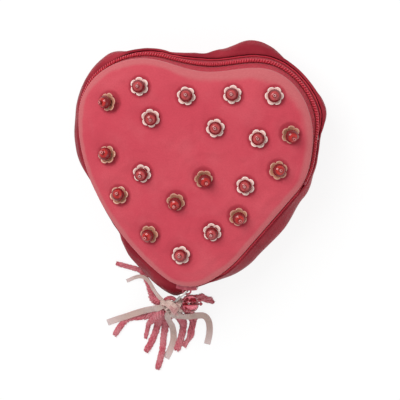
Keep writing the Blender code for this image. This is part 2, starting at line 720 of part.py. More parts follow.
def make_slider(parent):
    half = slider_half_angle()
    lip = TAPE_THICK / 2 + GAP
    reach = CHAIN_WIDTH / 2 + GAP
    edge = reach + LIP_THICK
    channel = (
        (BRIDGE_FOOT, -edge), (BRIDGE_FOOT, edge), (lip, edge), (lip, reach),
        (PLATE_OUT, reach), (PLATE_OUT, -reach), (lip, -reach), (lip, -edge),
    )
    near = -TAPE_THICK / 2 - INNER_EASE
    far = near - PLATE_THICK
    inner_plate = ((near, -reach), (near, reach), (far, reach), (far, -reach))
    sunk = PLATE_THICK / 2
    thin = WEB_THICK / 2
    web = ((PLATE_OUT + sunk, -thin), (PLATE_OUT + sunk, thin), (near - sunk, thin), (near - sunk, -thin))
    web_end = half - LIP_THICK / TIP_RADIUS
    slider = sector("slider_body", parent, -half, half, channel)
    join_to(slider, [
        sector("slider_inner_plate", parent, -half, half, inner_plate),
        sector("slider_web", parent, web_end - WEB_LENGTH / TIP_RADIUS, web_end, web),
        make_bridge(parent),
    ])


def make_bridge(parent):
    """The arch that holds the pull's bar, with its feet sunk in the outer plate."""
    steps = 8
    foot = PLATE_THICK / 2
    loops = []
    for i in range(-1, steps + 2):
        turn = math.pi * min(max(i / steps, 0), 1)
        sunk = foot if i in (-1, steps + 1) else 0
        loop = []
        for grow, side in ((0, -1), (0, 1), (BRIDGE_THICK, 1), (BRIDGE_THICK, -1)):
            along = -math.cos(turn) * (BRIDGE_SPAN / 2 - BRIDGE_THICK + grow)
            rise = math.sin(turn) ** 0.6 * (2 * BAR_CLEARANCE + grow) - sunk
            place = on_tip(0, BRIDGE_FOOT + rise, CHAIN_Z + side * BRIDGE_WIDTH / 2)
            loop.append(place + Vector((along, 0, 0)))
        loops.append(loop)
    return lofted("slider_bridge", loops, "pink metal", parent)


# The pull

PULL_AHEAD = Vector((math.cos(PULL_DIRECTION), math.sin(PULL_DIRECTION), 0))
PULL_BESIDE = Vector((-PULL_AHEAD.y, PULL_AHEAD.x, 0))
RING_CENTRE = PIN_PLACE + PULL_AHEAD * (TAB_REACH + RING_RADIUS)
TASSEL_PLACE = RING_CENTRE + PULL_AHEAD * RING_RADIUS


def tab_outline():
    """Outline of the tab, from its square bar to its round end, as (along, up)."""
    half = TAB_WIDTH / 2
    round_radius = half * TAB_END_SHARE
    end = TAB_REACH + TAB_HOLE_RADIUS + TAB_RIM - round_radius
    waist = TAB_BAR / 2 + TAB_WINDOW
    steps = 8
    points = [(-TAB_BAR / 2, -half), (waist, -half)]
    for i in range(steps + 1):
        angle = math.pi * (i / steps - 0.5)
        points.append((end + round_radius * math.cos(angle), round_radius * math.sin(angle)))
    return points + [(waist, half), (-TAB_BAR / 2, half)]


def tab_holes():
    near = TAB_BAR / 2
    half = BRIDGE_WIDTH / 2 + 2 * GAP
    window = [(near, -half), (near + TAB_WINDOW, -half), (near + TAB_WINDOW, half), (near, half)]
    steps = 10
    turns = [2 * math.pi * i / steps for i in range(steps)]
    hole = [(TAB_REACH + TAB_HOLE_RADIUS * math.cos(t), TAB_HOLE_RADIUS * math.sin(t)) for t in turns]
    return [window, hole]


def make_pull_tab(parent):
    """A flat tab stamped with a window, whose end is the bar, and with a hole for the ring."""
    curve = bpy.data.curves.new("pull_tab", "CURVE")
    curve.dimensions = "2D"
    curve.fill_mode = "BOTH"
    curve.extrude = TAB_THICK / 2
    for points in [tab_outline()] + tab_holes():
        spline = curve.splines.new("POLY")
        spline.points.add(len(points) - 1)
        spline.use_cyclic_u = True
        for point, (along, up) in zip(spline.points, points):
            point.co = (along, up, 0, 1)
    tab = add_object("pull_tab", curve, "nickel", parent)
    tab.rotation_euler = (math.pi / 2, 0, PULL_DIRECTION)


def ring_loops(centre, first, second, radius, wire, steps, sides):
    """Cross-sections of a wire ring that lies in the plane of two unit vectors."""
    across = first.cross(second)
    loops = []
    for i in range(steps):
        turn = 2 * math.pi * i / steps
        out = first * math.cos(turn) + second * math.sin(turn)
        loop = []
        for k in range(sides):
            angle = 2 * math.pi * k / sides
            loop.append(centre + out * (radius + wire * math.cos(angle)) + across * wire * math.sin(angle))
        loops.append(loop)
    return loops


def make_pull_ring(parent):
    loops = ring_loops(RING_CENTRE, PULL_AHEAD, PULL_BESIDE, RING_RADIUS, RING_WIRE, 14, 6)
    lofted("pull_ring", loops, "nickel", parent, closed=True)


# The tassel

def turned_loops(centre, axis, profile, sides):
    """Circles of a turned piece: profile is a run of (radius, distance along the axis)."""
    side = axis.orthogonal().normalized()
    other = axis.cross(side)
    loops = []
    for radius, along in profile:
        turns = [2 * math.pi * k / sides for k in range(sides)]
        loops.append([centre + axis * along + (side * math.cos(t) + other * math.sin(t)) * radius for t in turns])
    return loops


def make_knot(parent):
    """The tassel's head: a wrapped knot below a small loop that hangs on the ring."""
    hang = LOOP_RADIUS - LOOP_WIRE - RING_WIRE - GAP
    loop_centre = TASSEL_PLACE - UP * hang
    loop = lofted("knot_loop", ring_loops(loop_centre, PULL_AHEAD, UP, LOOP_RADIUS, LOOP_WIRE, 14, 6),
                  "ribbon", parent, closed=True)
    top = loop_centre - UP * (LOOP_RADIUS - LOOP_WIRE / 2)
    profile = [(KNOT_RADIUS * wide, -KNOT_HEIGHT * down) for wide, down in KNOT_SHARES]
    knot = lofted("tassel_knot", turned_loops(top, UP, profile, 14), "ribbon", parent)
    join_to(knot, [loop])


def make_glass_bead(parent):
    """A clear bead on a thread that leaves the knot and ends in a small knot of its own."""
    axis = Vector((math.cos(BEAD_DIRECTION), math.sin(BEAD_DIRECTION), 0))
    centre = TASSEL_PLACE + axis * BEAD_REACH - UP * BEAD_DROP
    steps = 8
    start = math.asin(BEAD_BORE_RADIUS / GLASS_BEAD_RADIUS)
    turns = [mix(start, math.pi - start, i / steps) for i in range(steps + 1)]
    profile = [(GLASS_BEAD_RADIUS * math.sin(t), -GLASS_BEAD_RADIUS * math.cos(t)) for t in turns]
    lofted("glass_bead", turned_loops(centre, axis, profile, 12), "clear glass", parent, closed=True)
    begin = KNOT_RADIUS + GAP - BEAD_REACH
    end = GLASS_BEAD_RADIUS + THREAD_RADIUS
    thread = [(THREAD_RADIUS, begin), (THREAD_RADIUS, end), (2.5 * THREAD_RADIUS, end + THREAD_RADIUS),
              (2.5 * THREAD_RADIUS, end + 3 * THREAD_RADIUS), (THREAD_RADIUS, end + 4 * THREAD_RADIUS)]
    lofted("bead_thread", turned_loops(centre, axis, thread, 8), "ribbon", parent)


def smooth_route(points, spacing):
    """Points at even steps along a smooth curve through the route's own points."""
    route = [Vector(p) for p in points]
    route = [route[0] * 2 - route[1]] + route + [route[-1] * 2 - route[-2]]
    steps = 12
    fine = []
    for a, b, c, d in zip(route, route[1:], route[2:], route[3:]):
        for i in range(steps):
            t = i / steps
            fine.append((2 * b + (c - a) * t + (2 * a - 5 * b + 4 * c - d) * t * t
                         + (3 * b - a - 3 * c + d) * t * t * t) / 2)
    fine.append(route[-2])
    for place in fine:
        place.z = max(place.z, route[-2].z)
    lengths = [0.0]
    for a, b in zip(fine, fine[1:]):
        lengths.append(lengths[-1] + (b - a).length)
    count = max(2, round(lengths[-1] / spacing))
    even = []
    k = 0
    for i in range(count + 1):
        wanted = lengths[-1] * i / count
        while k < len(fine) - 2 and lengths[k + 1] < wanted:
            k += 1
        even.append(fine[k].lerp(fine[k + 1], (wanted - lengths[k]) / (lengths[k + 1] - lengths[k])))
    return even


def make_yarn(name, points, parent):
    curve = bpy.data.curves.new(name, "CURVE")
    curve.dimensions = "3D"
    curve.bevel_depth = YARN_RADIUS
    curve.bevel_resolution = 2
    curve.use_fill_caps = True
    route = smooth_route(points, 5 * YARN_RADIUS)
    spline = curve.splines.new("POLY")
    spline.points.add(len(route) - 1)
    for point, place in zip(spline.points, route):
        point.co = (*(place - parent.location), 1)
    add_object(name, curve, "yarn", parent)


def make_ribbon(name, width, points, parent):
    """A flat strand that stays level across its width."""
    route = smooth_route(points, WIDE_RIBBON)
    loops = []
    for i, place in enumerate(route):
        ahead = (route[min(i + 1, len(route) - 1)] - route[max(i - 1, 0)]).normalized()
        beside = ahead.cross(UP).normalized() * width / 2
        above = beside.cross(ahead).normalized() * RIBBON_THICK / 2
        loops.append([place - beside - above, place + beside - above, place + beside + above, place - beside + above])
    lofted(name, loops, "ribbon", parent)


def make_tassel(parent):
    make_knot(parent)
    make_glass_bead(parent)
    for name, points in YARN_ROUTES.items():
        make_yarn(name, points, parent)
    for name, (width, points) in RIBBON_ROUTES.items():
        make_ribbon(name, width, points, parent)


# The flowers on the lid

def cross(a, b):
    return a.x * b.y - a.y * b.x


def velvet_z(x, y):
    """Height of the lid's cover above a point inside the heart."""
    way = Vector((x, y))
    share = 0.0
    for a, b in zip(EDGE, EDGE[1:] + EDGE[:1]):
        if cross(a, way) <= 0 < cross(b, way) or cross(a, way) >= 0 > cross(b, way):
            reach = cross(a, b - a) / cross(way, b - a)
            if reach > 0:
                share = 1 / reach
    rows = CROWN_SHARES + ((1.0, 0.0),)
    if share <= rows[0][0]:
        return LID_EDGE_Z + CROWN_HEIGHT
    for (near, high), (far, low) in zip(rows, rows[1:]):
        if share <= far:
            return LID_EDGE_Z + CROWN_HEIGHT * mix(high, low, (share - near) / (far - near))
    return LID_EDGE_Z


def flower_loops():
    """Rings of a flower about its own axis: a six-petalled cup, a ruby bead and a seed bead."""
    ruby_z = SEQUIN_THICK + RUBY_RADIUS
    seed_z = ruby_z + RUBY_RADIUS + SEED_RADIUS
    slant = math.sqrt(0.5)
    rings = (
        (SEQUIN_RADIUS / 2, 0), None, (RUBY_RADIUS / 2, SEQUIN_THICK), (RUBY_RADIUS, ruby_z),
        (RUBY_RADIUS * slant, ruby_z + RUBY_RADIUS * slant), (SEED_RADIUS * slant, ruby_z + RUBY_RADIUS),
        (SEED_RADIUS, seed_z), (SEED_RADIUS * slant, seed_z + SEED_RADIUS * slant),
    )
    loops = []
    points = 6 * len(PETAL_SHARES)
    for ring in rings:
        loop = []
        for i in range(points):
            petal = PETAL_SHARES[i % len(PETAL_SHARES)]
            radius, z = ring or (SEQUIN_RADIUS * petal, SEQUIN_DISH * petal)
            angle = 2 * math.pi * i / points
            loop.append(Vector((radius * math.cos(angle), radius * math.sin(angle), z)))
        loops.append(loop)
    return loops


def make_flowers(parent):
    """Each flower is one piece, because a thread ties its cup and its two beads together."""
    for number, (across, along, toward, lean) in enumerate(FLOWER_SHARES, 1):
        x = across * (RIGHT_WIDTH if across > 0 else LEFT_WIDTH)
        y = LOBE_TOP_FROM_TIP * along - ORIGIN_FROM_TIP
        way = math.radians(toward)
        tilt = Matrix.Rotation(math.radians(lean), 4, Vector((-math.sin(way), math.cos(way), 0)))
        loops = [[tilt @ p for p in loop] for loop in flower_loops()]
        resting = [p for loop in loops[:2] for p in loop]
        z = GAP + max(velvet_z(x + p.x, y + p.y) - p.z for p in resting)
        loops = [[p + Vector((x, y, z)) for p in loop] for loop in loops]
        lofted(f"flower_{number:02d}", loops, "pearl sequin", parent)


# Build

for old in list(bpy.data.objects):
    bpy.data.objects.remove(old, do_unlink=True)
MATERIALS = {name: make_material(name) for name in FINISHES}

hinge_start = at(FLANK_STATION, HINGE_OUT, HINGE_TOP_Z)
hinge_end = at(FLANK_END_STATION, HINGE_OUT, HINGE_TOP_Z)
flank_start, flank_end = EDGE[FLANK_STATION], EDGE[FLANK_END_STATION]
hinge_line = (flank_end - flank_start).normalized()
hinge_middle = (flank_start + flank_end) / 2 + Vector((hinge_line.y, -hinge_line.x)) * HINGE_OUT

bag_frame = add_pivot("bag_frame", (0, 0, 0))
lid_axis = add_pivot("lid_hinge_axis", (hinge_middle.x, hinge_middle.y, HINGE_TOP_Z))
slider_axis = add_pivot("slider_axis", TIP_CENTRE)
pull_axis = add_pivot("pull_axis", PIN_PLACE)
tassel_axis = add_pivot("tassel_axis", TASSEL_PLACE)

make_bag(bag_frame)
make_lid(lid_axis)
make_zip(bag_frame, lid_axis)
make_flowers(lid_axis)
make_slider(slider_axis)
make_pull_tab(pull_axis)
make_pull_ring(pull_axis)
make_tassel(tassel_axis)
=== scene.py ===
import math

import bmesh
import bpy
import numpy as np
from mathutils import Matrix, Vector
from mathutils.geometry import delaunay_2d_cdt


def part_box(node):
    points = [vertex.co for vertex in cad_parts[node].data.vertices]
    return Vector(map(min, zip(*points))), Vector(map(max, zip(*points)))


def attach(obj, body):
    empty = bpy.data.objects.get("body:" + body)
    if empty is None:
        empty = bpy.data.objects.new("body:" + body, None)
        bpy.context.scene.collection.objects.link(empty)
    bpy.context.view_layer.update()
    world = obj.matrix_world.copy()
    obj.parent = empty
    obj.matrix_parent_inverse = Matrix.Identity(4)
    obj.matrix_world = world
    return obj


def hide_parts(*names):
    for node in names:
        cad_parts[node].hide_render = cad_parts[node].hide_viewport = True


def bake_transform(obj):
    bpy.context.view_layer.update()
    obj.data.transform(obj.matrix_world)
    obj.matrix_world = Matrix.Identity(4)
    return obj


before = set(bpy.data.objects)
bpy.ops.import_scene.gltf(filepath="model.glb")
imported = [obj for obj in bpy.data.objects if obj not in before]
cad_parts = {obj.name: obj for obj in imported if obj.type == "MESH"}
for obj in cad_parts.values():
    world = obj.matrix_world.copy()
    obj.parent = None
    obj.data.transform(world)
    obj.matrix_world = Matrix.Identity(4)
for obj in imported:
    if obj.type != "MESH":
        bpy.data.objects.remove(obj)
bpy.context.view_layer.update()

print("Frame loaded:", len(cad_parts), "nodes")


# The view: the lid's middle, seen from about 0.6 m above
view = {"target": (0.003874, -0.011689, 0.042), "eye": (0.076458, 0.060895, 0.63315),
        "lean": math.radians(4.755), "focalPixels": 1153.85, "picturePixels": 400, "sensor": 36.0}


def setCamera():
    eye, target = Vector(view["eye"]), Vector(view["target"])
    back = (eye - target).normalized()
    right = Vector((0, 1, 0)).cross(back).normalized()
    up = back.cross(right)
    turn = Matrix.Rotation(view["lean"], 3, back)
    right, up = turn @ right, turn @ up
    data = bpy.data.cameras.new("camera")
    data.sensor_width = view["sensor"]
    data.lens = view["focalPixels"] / view["picturePixels"] * view["sensor"]
    data.clip_start, data.clip_end = 0.01, 10.0
    camera = bpy.data.objects.new("camera", data)
    bpy.context.scene.collection.objects.link(camera)
    camera.matrix_world = Matrix.Translation(eye) @ Matrix((right, up, back)).transposed().to_4x4()
    bpy.context.scene.camera = camera


setCamera()


# Shader maths: a wrapped socket turns expressions into nodes
class Socket:
    def __init__(self, finish, socket):
        self.finish, self.socket = finish, socket

    def maths(self, operation, a, b=0.0):
        return self.finish.add("ShaderNodeMath", {"operation": operation}, {0: a, 1: b})

    def __add__(self, other):
        return self.maths("ADD", self, other)

    def __radd__(self, other):
        return self.maths("ADD", other, self)

    def __sub__(self, other):
        return self.maths("SUBTRACT", self, other)

    def __rsub__(self, other):
        return self.maths("SUBTRACT", other, self)

    def __mul__(self, other):
        return self.maths("MULTIPLY", self, other)

    def __rmul__(self, other):
        return self.maths("MULTIPLY", other, self)


# A finish is a material with one Principled shader; what varies over a surface is linked to it with put
class Finish:
    def __init__(self, name, **settings):
        self.material = bpy.data.materials.new(name)
        self.material.use_nodes = True
        self.tree = self.material.node_tree
        self.shader = self.tree.nodes["Principled BSDF"]
        for key, value in settings.items():
            self.shader.inputs[socketNames[key]].default_value = value

    def add(self, kind, settings=None, sockets=None, out=0):
        node = self.tree.nodes.new(kind)
        for key, value in (settings or {}).items():
            setattr(node, key, value)
        for key, value in (sockets or {}).items():
            self.join(value, node.inputs[key])
        return Socket(self, node.outputs[out])

    def join(self, value, socket):
        if isinstance(value, Socket):
            self.tree.links.new(value.socket, socket)
        else:
            socket.default_value = value

    def put(self, name, value):
        self.join(value, self.shader.inputs[socketNames.get(name, name)])
        return self

    def place(self):
        return self.add("ShaderNodeTexCoord", out="Object")

    def share(self, name):
        return self.add("ShaderNodeAttribute", {"attribute_name": name}, out="Fac")

    def noise(self, scale, detail=3.0):
        sockets = {"Vector": self.place(), "Scale": scale, "Detail": detail}
        return self.add("ShaderNodeTexNoise", None, sockets, out="Fac")

    def mixColour(self, factor, a, b):
        return self.add("ShaderNodeMix", {"data_type": "RGBA"}, {0: factor, 6: a, 7: b}, out=2)

    def range(self, value, low, high):
        sockets = {"Value": value, "From Min": low, "From Max": high}
        return self.add("ShaderNodeMapRange", {"interpolation_type": "SMOOTHSTEP"}, sockets)

    def bump(self, height, strength, distance):
        sockets = {"Height": height, "Strength": strength, "Distance": distance}
        normal = self.add("ShaderNodeBump", None, sockets)
        self.join(normal, self.shader.inputs["Normal"])
        return self

    def threads(self, along, across):
        # Fine warp and weft, from a map in metres
        weave = self.add("ShaderNodeUVMap", {"uv_map": "weave"})
        split = self.add("ShaderNodeSeparateXYZ", None, {0: weave}).socket.node
        return [self.add("ShaderNodeMath", {"operation": "SINE"},
                         {0: Socket(self, split.outputs[k]) * (2 * math.pi / pitch)})
                for k, pitch in enumerate((along, across))]


socketNames = {"colour": "Base Color", "rough": "Roughness", "metallic": "Metallic", "sheen": "Sheen Weight",
               "sheenRough": "Sheen Roughness", "sheenTint": "Sheen Tint", "coat": "Coat Weight",
               "coatRough": "Coat Roughness", "clear": "Transmission Weight", "ior": "IOR", "alpha": "Alpha",
               "specular": "Specular IOR Level", "brushed": "Anisotropic"}


def rgb(red, green, blue):
    return (red, green, blue, 1.0)


# The heart's edge, read at any station from the tip round the right side to the cleft and back
heart = {"tipRadius": 0.021, "rightTurn": math.radians(34.0), "leftTurn": math.radians(31.0),
         "shoulder": 0.063, "flank": 0.042, "flankLean": math.radians(35.5), "lobeTop": 0.1168,
         "lobeAcross": 0.0295, "cleft": 0.1126, "originFromTip": 0.058, "handle": 0.8,
         "leftTipHandle": 0.030, "leftSideHandle": 0.034, "stations": 50, "fine": 40}
widest = {"right": Vector((0.0592, 0.080)), "left": Vector((0.0637, 0.086))}
levels = {"chain": 0.0347, "gussetTop": 0.0305, "lidTapeTop": 0.0393, "hem": 0.0396, "lidEdge": 0.0426,
          "crown": 0.0039, "wallLow": 0.0013, "hingeTop": 0.039}


def onArc(start, radius, first, last, t):
    # A point of an arc that leaves its start at one slope and ends at another
    slope = first + (last - first) * t
    across = radius * (math.sin(slope) - math.sin(first))
    return start + Vector((across, radius * (math.cos(first) - math.cos(slope))))


def onCurve(start, first, second, end, t):
    a, b, c = start.lerp(first, t), first.lerp(second, t), second.lerp(end, t)
    return a.lerp(b, t).lerp(b.lerp(c, t), t)


def onLobe(wide, station):
    if station <= 21:
        angle = math.pi / 2 * (station - 14) / 7
        across = heart["lobeAcross"] + (wide.x - heart["lobeAcross"]) * math.cos(angle)
        return Vector((across, wide.y + (heart["lobeTop"] - wide.y) * math.sin(angle)))
    t = (station - 21) / 4
    rise = (1 + math.cos(math.pi * t)) / 2
    return Vector((heart["lobeAcross"] * (1 - t),
                   heart["cleft"] + (heart["lobeTop"] - heart["cleft"]) * rise))


def rightHalf(station):
    # The hinge's side: tip, shoulder, straight flank, side and lobe
    slope = math.pi / 2 - heart["flankLean"]
    along = Vector((math.sin(heart["flankLean"]), math.cos(heart["flankLean"])))
    tipEnd = onArc(Vector((0, 0)), heart["tipRadius"], 0, heart["rightTurn"], 1)
    flankStart = onArc(tipEnd, heart["shoulder"], heart["rightTurn"], slope, 1)
    flankEnd = flankStart + along * heart["flank"]
    if station <= 4:
        return onArc(Vector((0, 0)), heart["tipRadius"], 0, heart["rightTurn"], station / 4)
    if station <= 6:
        return onArc(tipEnd, heart["shoulder"], heart["rightTurn"], slope, (station - 4) / 2)
    if station <= 10:
        return flankStart.lerp(flankEnd, (station - 6) / 4)
    wide = widest["right"]
    if station <= 14:
        corner = flankEnd + along * (wide.x - flankEnd.x) / along.x
        first, second = flankEnd.lerp(corner, heart["handle"]), wide.lerp(corner, heart["handle"])
        return onCurve(flankEnd, first, second, wide, (station - 10) / 4)
    return onLobe(wide, station)


def leftHalf(station):
    if station <= 4:
        return onArc(Vector((0, 0)), heart["tipRadius"], 0, heart["leftTurn"], station / 4)
    wide = widest["left"]
    if station <= 14:
        tipEnd = onArc(Vector((0, 0)), heart["tipRadius"], 0, heart["leftTurn"], 1)
        away = Vector((math.cos(heart["leftTurn"]), math.sin(heart["leftTurn"]))) * heart["leftTipHandle"]
        below = wide - Vector((0, heart["leftSideHandle"]))
        return onCurve(tipEnd, tipEnd + away, below, wide, (station - 4) / 10)
    return onLobe(wide, station)


def heartTable():
    half = heart["stations"] / 2
    rows = []
    for i in range(int(heart["stations"] * heart["fine"]) + 1):
        station = i / heart["fine"]
        isRight = station <= half
        point = rightHalf(station) if isRight else leftHalf(2 * half - station)
        rows.append((point.x if isRight else -point.x, point.y - heart["originFromTip"]))
    points = np.array(rows)
    ring = points[:-1]
    along = np.roll(ring, -1, 0) - np.roll(ring, 1, 0)
    along /= np.linalg.norm(along, axis=1)[:, None]
    normals = np.stack((along[:, 1], -along[:, 0]), 1)
    for _ in range(6):
        normals = (np.roll(normals, 1, 0) + normals * 2 + np.roll(normals, -1, 0)) / 4
    normals /= np.linalg.norm(normals, axis=1)[:, None]
    lengths = np.concatenate(([0], np.cumsum(np.linalg.norm(np.diff(points, axis=0), axis=1))))
    return points, np.vstack((normals, normals[:1])), lengths


edgePoints, edgeNormals, edgeLengths = heartTable()
edgeStations = np.arange(len(edgePoints)) / heart["fine"]


def atEdge(stations, out, z):
    # Points beyond the lid's edge, for arrays of stations, distances out and heights
    s = np.mod(stations, heart["stations"])
    x, y = (np.interp(s, edgeStations, edgePoints[:, k]) for k in (0, 1))
    nx, ny = (np.interp(s, edgeStations, edgeNormals[:, k]) for k in (0, 1))
    return np.stack(np.broadcast_arrays(x + nx * out, y + ny * out, z), -1)


def lengthAt(stations):
    turns = np.floor(np.asarray(stations) / heart["stations"])
    return np.interp(np.mod(stations, heart["stations"]), edgeStations, edgeLengths) + turns * edgeLengths[-1]


def stationAt(lengths):
    turns = np.floor(np.asarray(lengths) / edgeLengths[-1])
    return np.interp(np.mod(lengths, edgeLengths[-1]), edgeLengths, edgeStations) + turns * heart["stations"]


def evenStations(first, last, step):
    start, end = lengthAt(first), lengthAt(last)
    return stationAt(np.linspace(start, end, int(round((end - start) / step)) + 1))


def fromShares(table, stations):
    # A table of (station, share) with a smooth step between its rows
    places = np.array([row[0] for row in table], float)
    shares = np.array([row[1] for row in table], float)
    s = np.mod(stations, heart["stations"])
    k = np.clip(np.searchsorted(places, s, side="right") - 1, 0, len(places) - 2)
    t = (s - places[k]) / (places[k + 1] - places[k])
    return shares[k] + (shares[k + 1] - shares[k]) * t * t * (3 - 2 * t)


fullness = ((0, 0.50), (3, 0.18), (6, 0.66), (8, 0.76), (10, 0.46), (12, 0.22), (14, 0.22), (16, 0.65),
            (18, 0.50), (19, 0.50), (22, 1.36), (24, 1.12), (26, 0.76), (28, 0.38), (30, 0.42), (32, 0.78),
            (34, 0.62), (36, 0.60), (38, 0.80), (40, 0.46), (42, 0.56), (44, 0.95), (46, 1.08), (48, 1.08),
            (49, 0.85), (50, 0.50))
zipLean = ((0, 0.0), (10, 0.0), (14, 0.20), (16, 0.80), (18, 0.75), (22, 1.0), (25, 1.0), (28, 0.60),
           (33, 0.25), (36, 0.0), (50, 0.0))
smoothSide = ((0, 0.0), (2, 0.6), (4, 1.0), (12, 1.0), (15, 0.0), (50, 0.0))
hingeRise = ((0, 0.0), (4, 0.0), (5, 1.0), (10, 1.0), (11, 0.0), (50, 0.0))
zipMeshed = ((0, 0.0), (6, 0.0), (11, 1.0), (44, 1.0), (46, 0.0), (50, 0.0))
band = {"inset": 0.0006, "lean": 0.0061, "thick": 0.0005}
wall = {"fullness": 0.01, "baseOut": 0.0015, "thick": 0.0009, "gap": 0.0003, "high": 0.034, "rows": 22,
        "gathers": 26, "gatherWide": (0.003, 0.008), "gatherSlant": 0.5, "gatherDeep": (0.2, 0.75),
        "gatherScale": 0.001, "calm": 0.8}


def bandOut(stations, z):
    share = np.minimum(1.0, (levels["lidTapeTop"] - z) / (levels["lidTapeTop"] - levels["gussetTop"]))
    return -band["inset"] + band["lean"] * fromShares(zipLean, stations) * share


def wallTop(stations):
    rise = fromShares(hingeRise, stations)
    return levels["gussetTop"] + (levels["hingeTop"] - levels["gussetTop"]) * rise


def wallPoint(stations, share):
    # Outer face of the wall at a share of its height: distance out, and height
    full = wall["fullness"] * fromShares(fullness, stations)
    high = wallTop(stations)
    topOut = bandOut(stations, high) + band["thick"] / 2 + wall["gap"] + wall["thick"]
    swell = full - (wall["baseOut"] + topOut) / 2
    # Flatter near the top at the hinge, where the open lid comes down
    bulge = (4 * share * (1 - share)) ** (0.7 + 0.6 * fromShares(hingeRise, stations))
    out = wall["baseOut"] + (topOut - wall["baseOut"]) * share + swell * bulge
    return out, levels["wallLow"] + (high - levels["wallLow"]) * share


# Making meshes

def addPiece(name, verts, faces, finish, body, slot, node=None, smooth=True):
    # node is the solid that the piece stands for
    mesh = bpy.data.meshes.new(name)
    mesh.from_pydata([tuple(v) for v in verts], [], faces)
    mesh.update()
    if smooth:
        mesh.shade_smooth()
    piece = bpy.data.objects.new(name, mesh)
    bpy.context.scene.collection.objects.link(piece)
    if finish:
        mesh.materials.append(finish.material)
    if body:
        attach(piece, body)
    if node:
        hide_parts(node)
    return piece


def setWeave(piece, u, v):
    # Writes a map in metres from values per corner
    layer = piece.data.uv_layers.new(name="weave")
    pairs = np.stack((u, v), 1).astype(np.float32)
    layer.data.foreach_set("uv", pairs.ravel())


def skin(rows, closedRows=False, closedColumns=False, caps=False):
    # Quads over a grid of points, with the row and column of each corner for a map
    grid = np.asarray(rows, float)
    count, width = grid.shape[:2]
    faces, corners = [], []
    for i in range(count if closedRows else count - 1):
        for j in range(width if closedColumns else width - 1):
            a, b = (i + 1) % count, (j + 1) % width
            faces.append((i * width + j, i * width + b, a * width + b, a * width + j))
            corners += [(i, j), (i, j + 1), (i + 1, j + 1), (i + 1, j)]
    if caps:
        faces.append(tuple(range(width))[::-1])
        corners += [(0, j) for j in range(width)]
        faces.append(tuple((count - 1) * width + j for j in range(width)))
        corners += [(count - 1, j) for j in range(width)]
    return grid.reshape(-1, 3), faces, np.array(corners)


def joined(verts, faces, rings, closedRows=False, closedColumns=True, caps=False):
    # Adds one more skin to a mesh made of several
    v, f, _ = skin(rings, closedRows, closedColumns, caps)
    return np.vstack((verts, v)), faces + [tuple(i + len(verts) for i in face) for face in f]


def addSkin(name, rows, finish, body, slot, node=None, closedRows=False, closedColumns=False, caps=False,
            step=(0.001, 0.001)):
    verts, faces, corners = skin(rows, closedRows, closedColumns, caps)
    piece = addPiece(name, verts, faces, finish, body, slot, node)
    setWeave(piece, corners[:, 0] * step[0], corners[:, 1] * step[1])
    return piece


def applyAll(piece):
    # Bakes the modifiers into the mesh
    depsgraph = bpy.context.evaluated_depsgraph_get()
    depsgraph.update()
    mesh = bpy.data.meshes.new_from_object(piece.evaluated_get(depsgraph))
    piece.modifiers.clear()
    piece.data = mesh


def thicken(piece, thick, body, node, offset=-1):
    # Gives a sheet its thickness, and puts it on its body in place of its solid
    modifier = piece.modifiers.new("thickness", "SOLIDIFY")
    modifier.thickness, modifier.offset, modifier.use_even_offset = thick, offset, True
    applyAll(piece)
    if body:
        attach(piece, body)
    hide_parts(node)


def frameOf(route):
    # Along, beside and above at each point of a route, with beside kept level
    route = np.asarray(route, float)
    along = np.gradient(route, axis=0)
    along /= np.linalg.norm(along, axis=1)[:, None]
    beside = np.cross(along, (0, 0, 1.0))
    weak = np.linalg.norm(beside, axis=1) < 1e-6
    beside[weak] = (1, 0, 0)
    beside /= np.linalg.norm(beside, axis=1)[:, None]
    return along, beside, np.cross(beside, along)


def tube(route, radii, sides=10):
    # Rings of a round strand along a route
    _, beside, above = frameOf(route)
    turns = np.linspace(0, 2 * math.pi, sides, endpoint=False)
    rings = []
    for k, point in enumerate(np.asarray(route, float)):
        radius = radii[k] if hasattr(radii, "__len__") else radii
        rings.append([point + (beside[k] * math.cos(t) + above[k] * math.sin(t)) * radius for t in turns])
    return np.array(rings)


def smoothRoute(points, spacing):
    # Even steps along a smooth curve through a route's own points, as the solids have it
    route = [Vector(p) for p in points]
    route = [route[0] * 2 - route[1]] + route + [route[-1] * 2 - route[-2]]
    fine = []
    for a, b, c, d in zip(route, route[1:], route[2:], route[3:]):
        for i in range(12):
            t = i / 12
            fine.append((2 * b + (c - a) * t + (2 * a - 5 * b + 4 * c - d) * t * t
                         + (3 * b - a - 3 * c + d) * t * t * t) / 2)
    fine.append(route[-2])
    for place in fine:
        place.z = max(place.z, route[-2].z)
    fine = np.array([tuple(p) for p in fine])
    lengths = np.concatenate(([0], np.cumsum(np.linalg.norm(np.diff(fine, axis=0), axis=1))))
    even = np.linspace(0, lengths[-1], max(3, int(round(lengths[-1] / spacing))) + 1)
    return np.stack([np.interp(even, lengths, fine[:, k]) for k in range(3)], 1), lengths[-1]


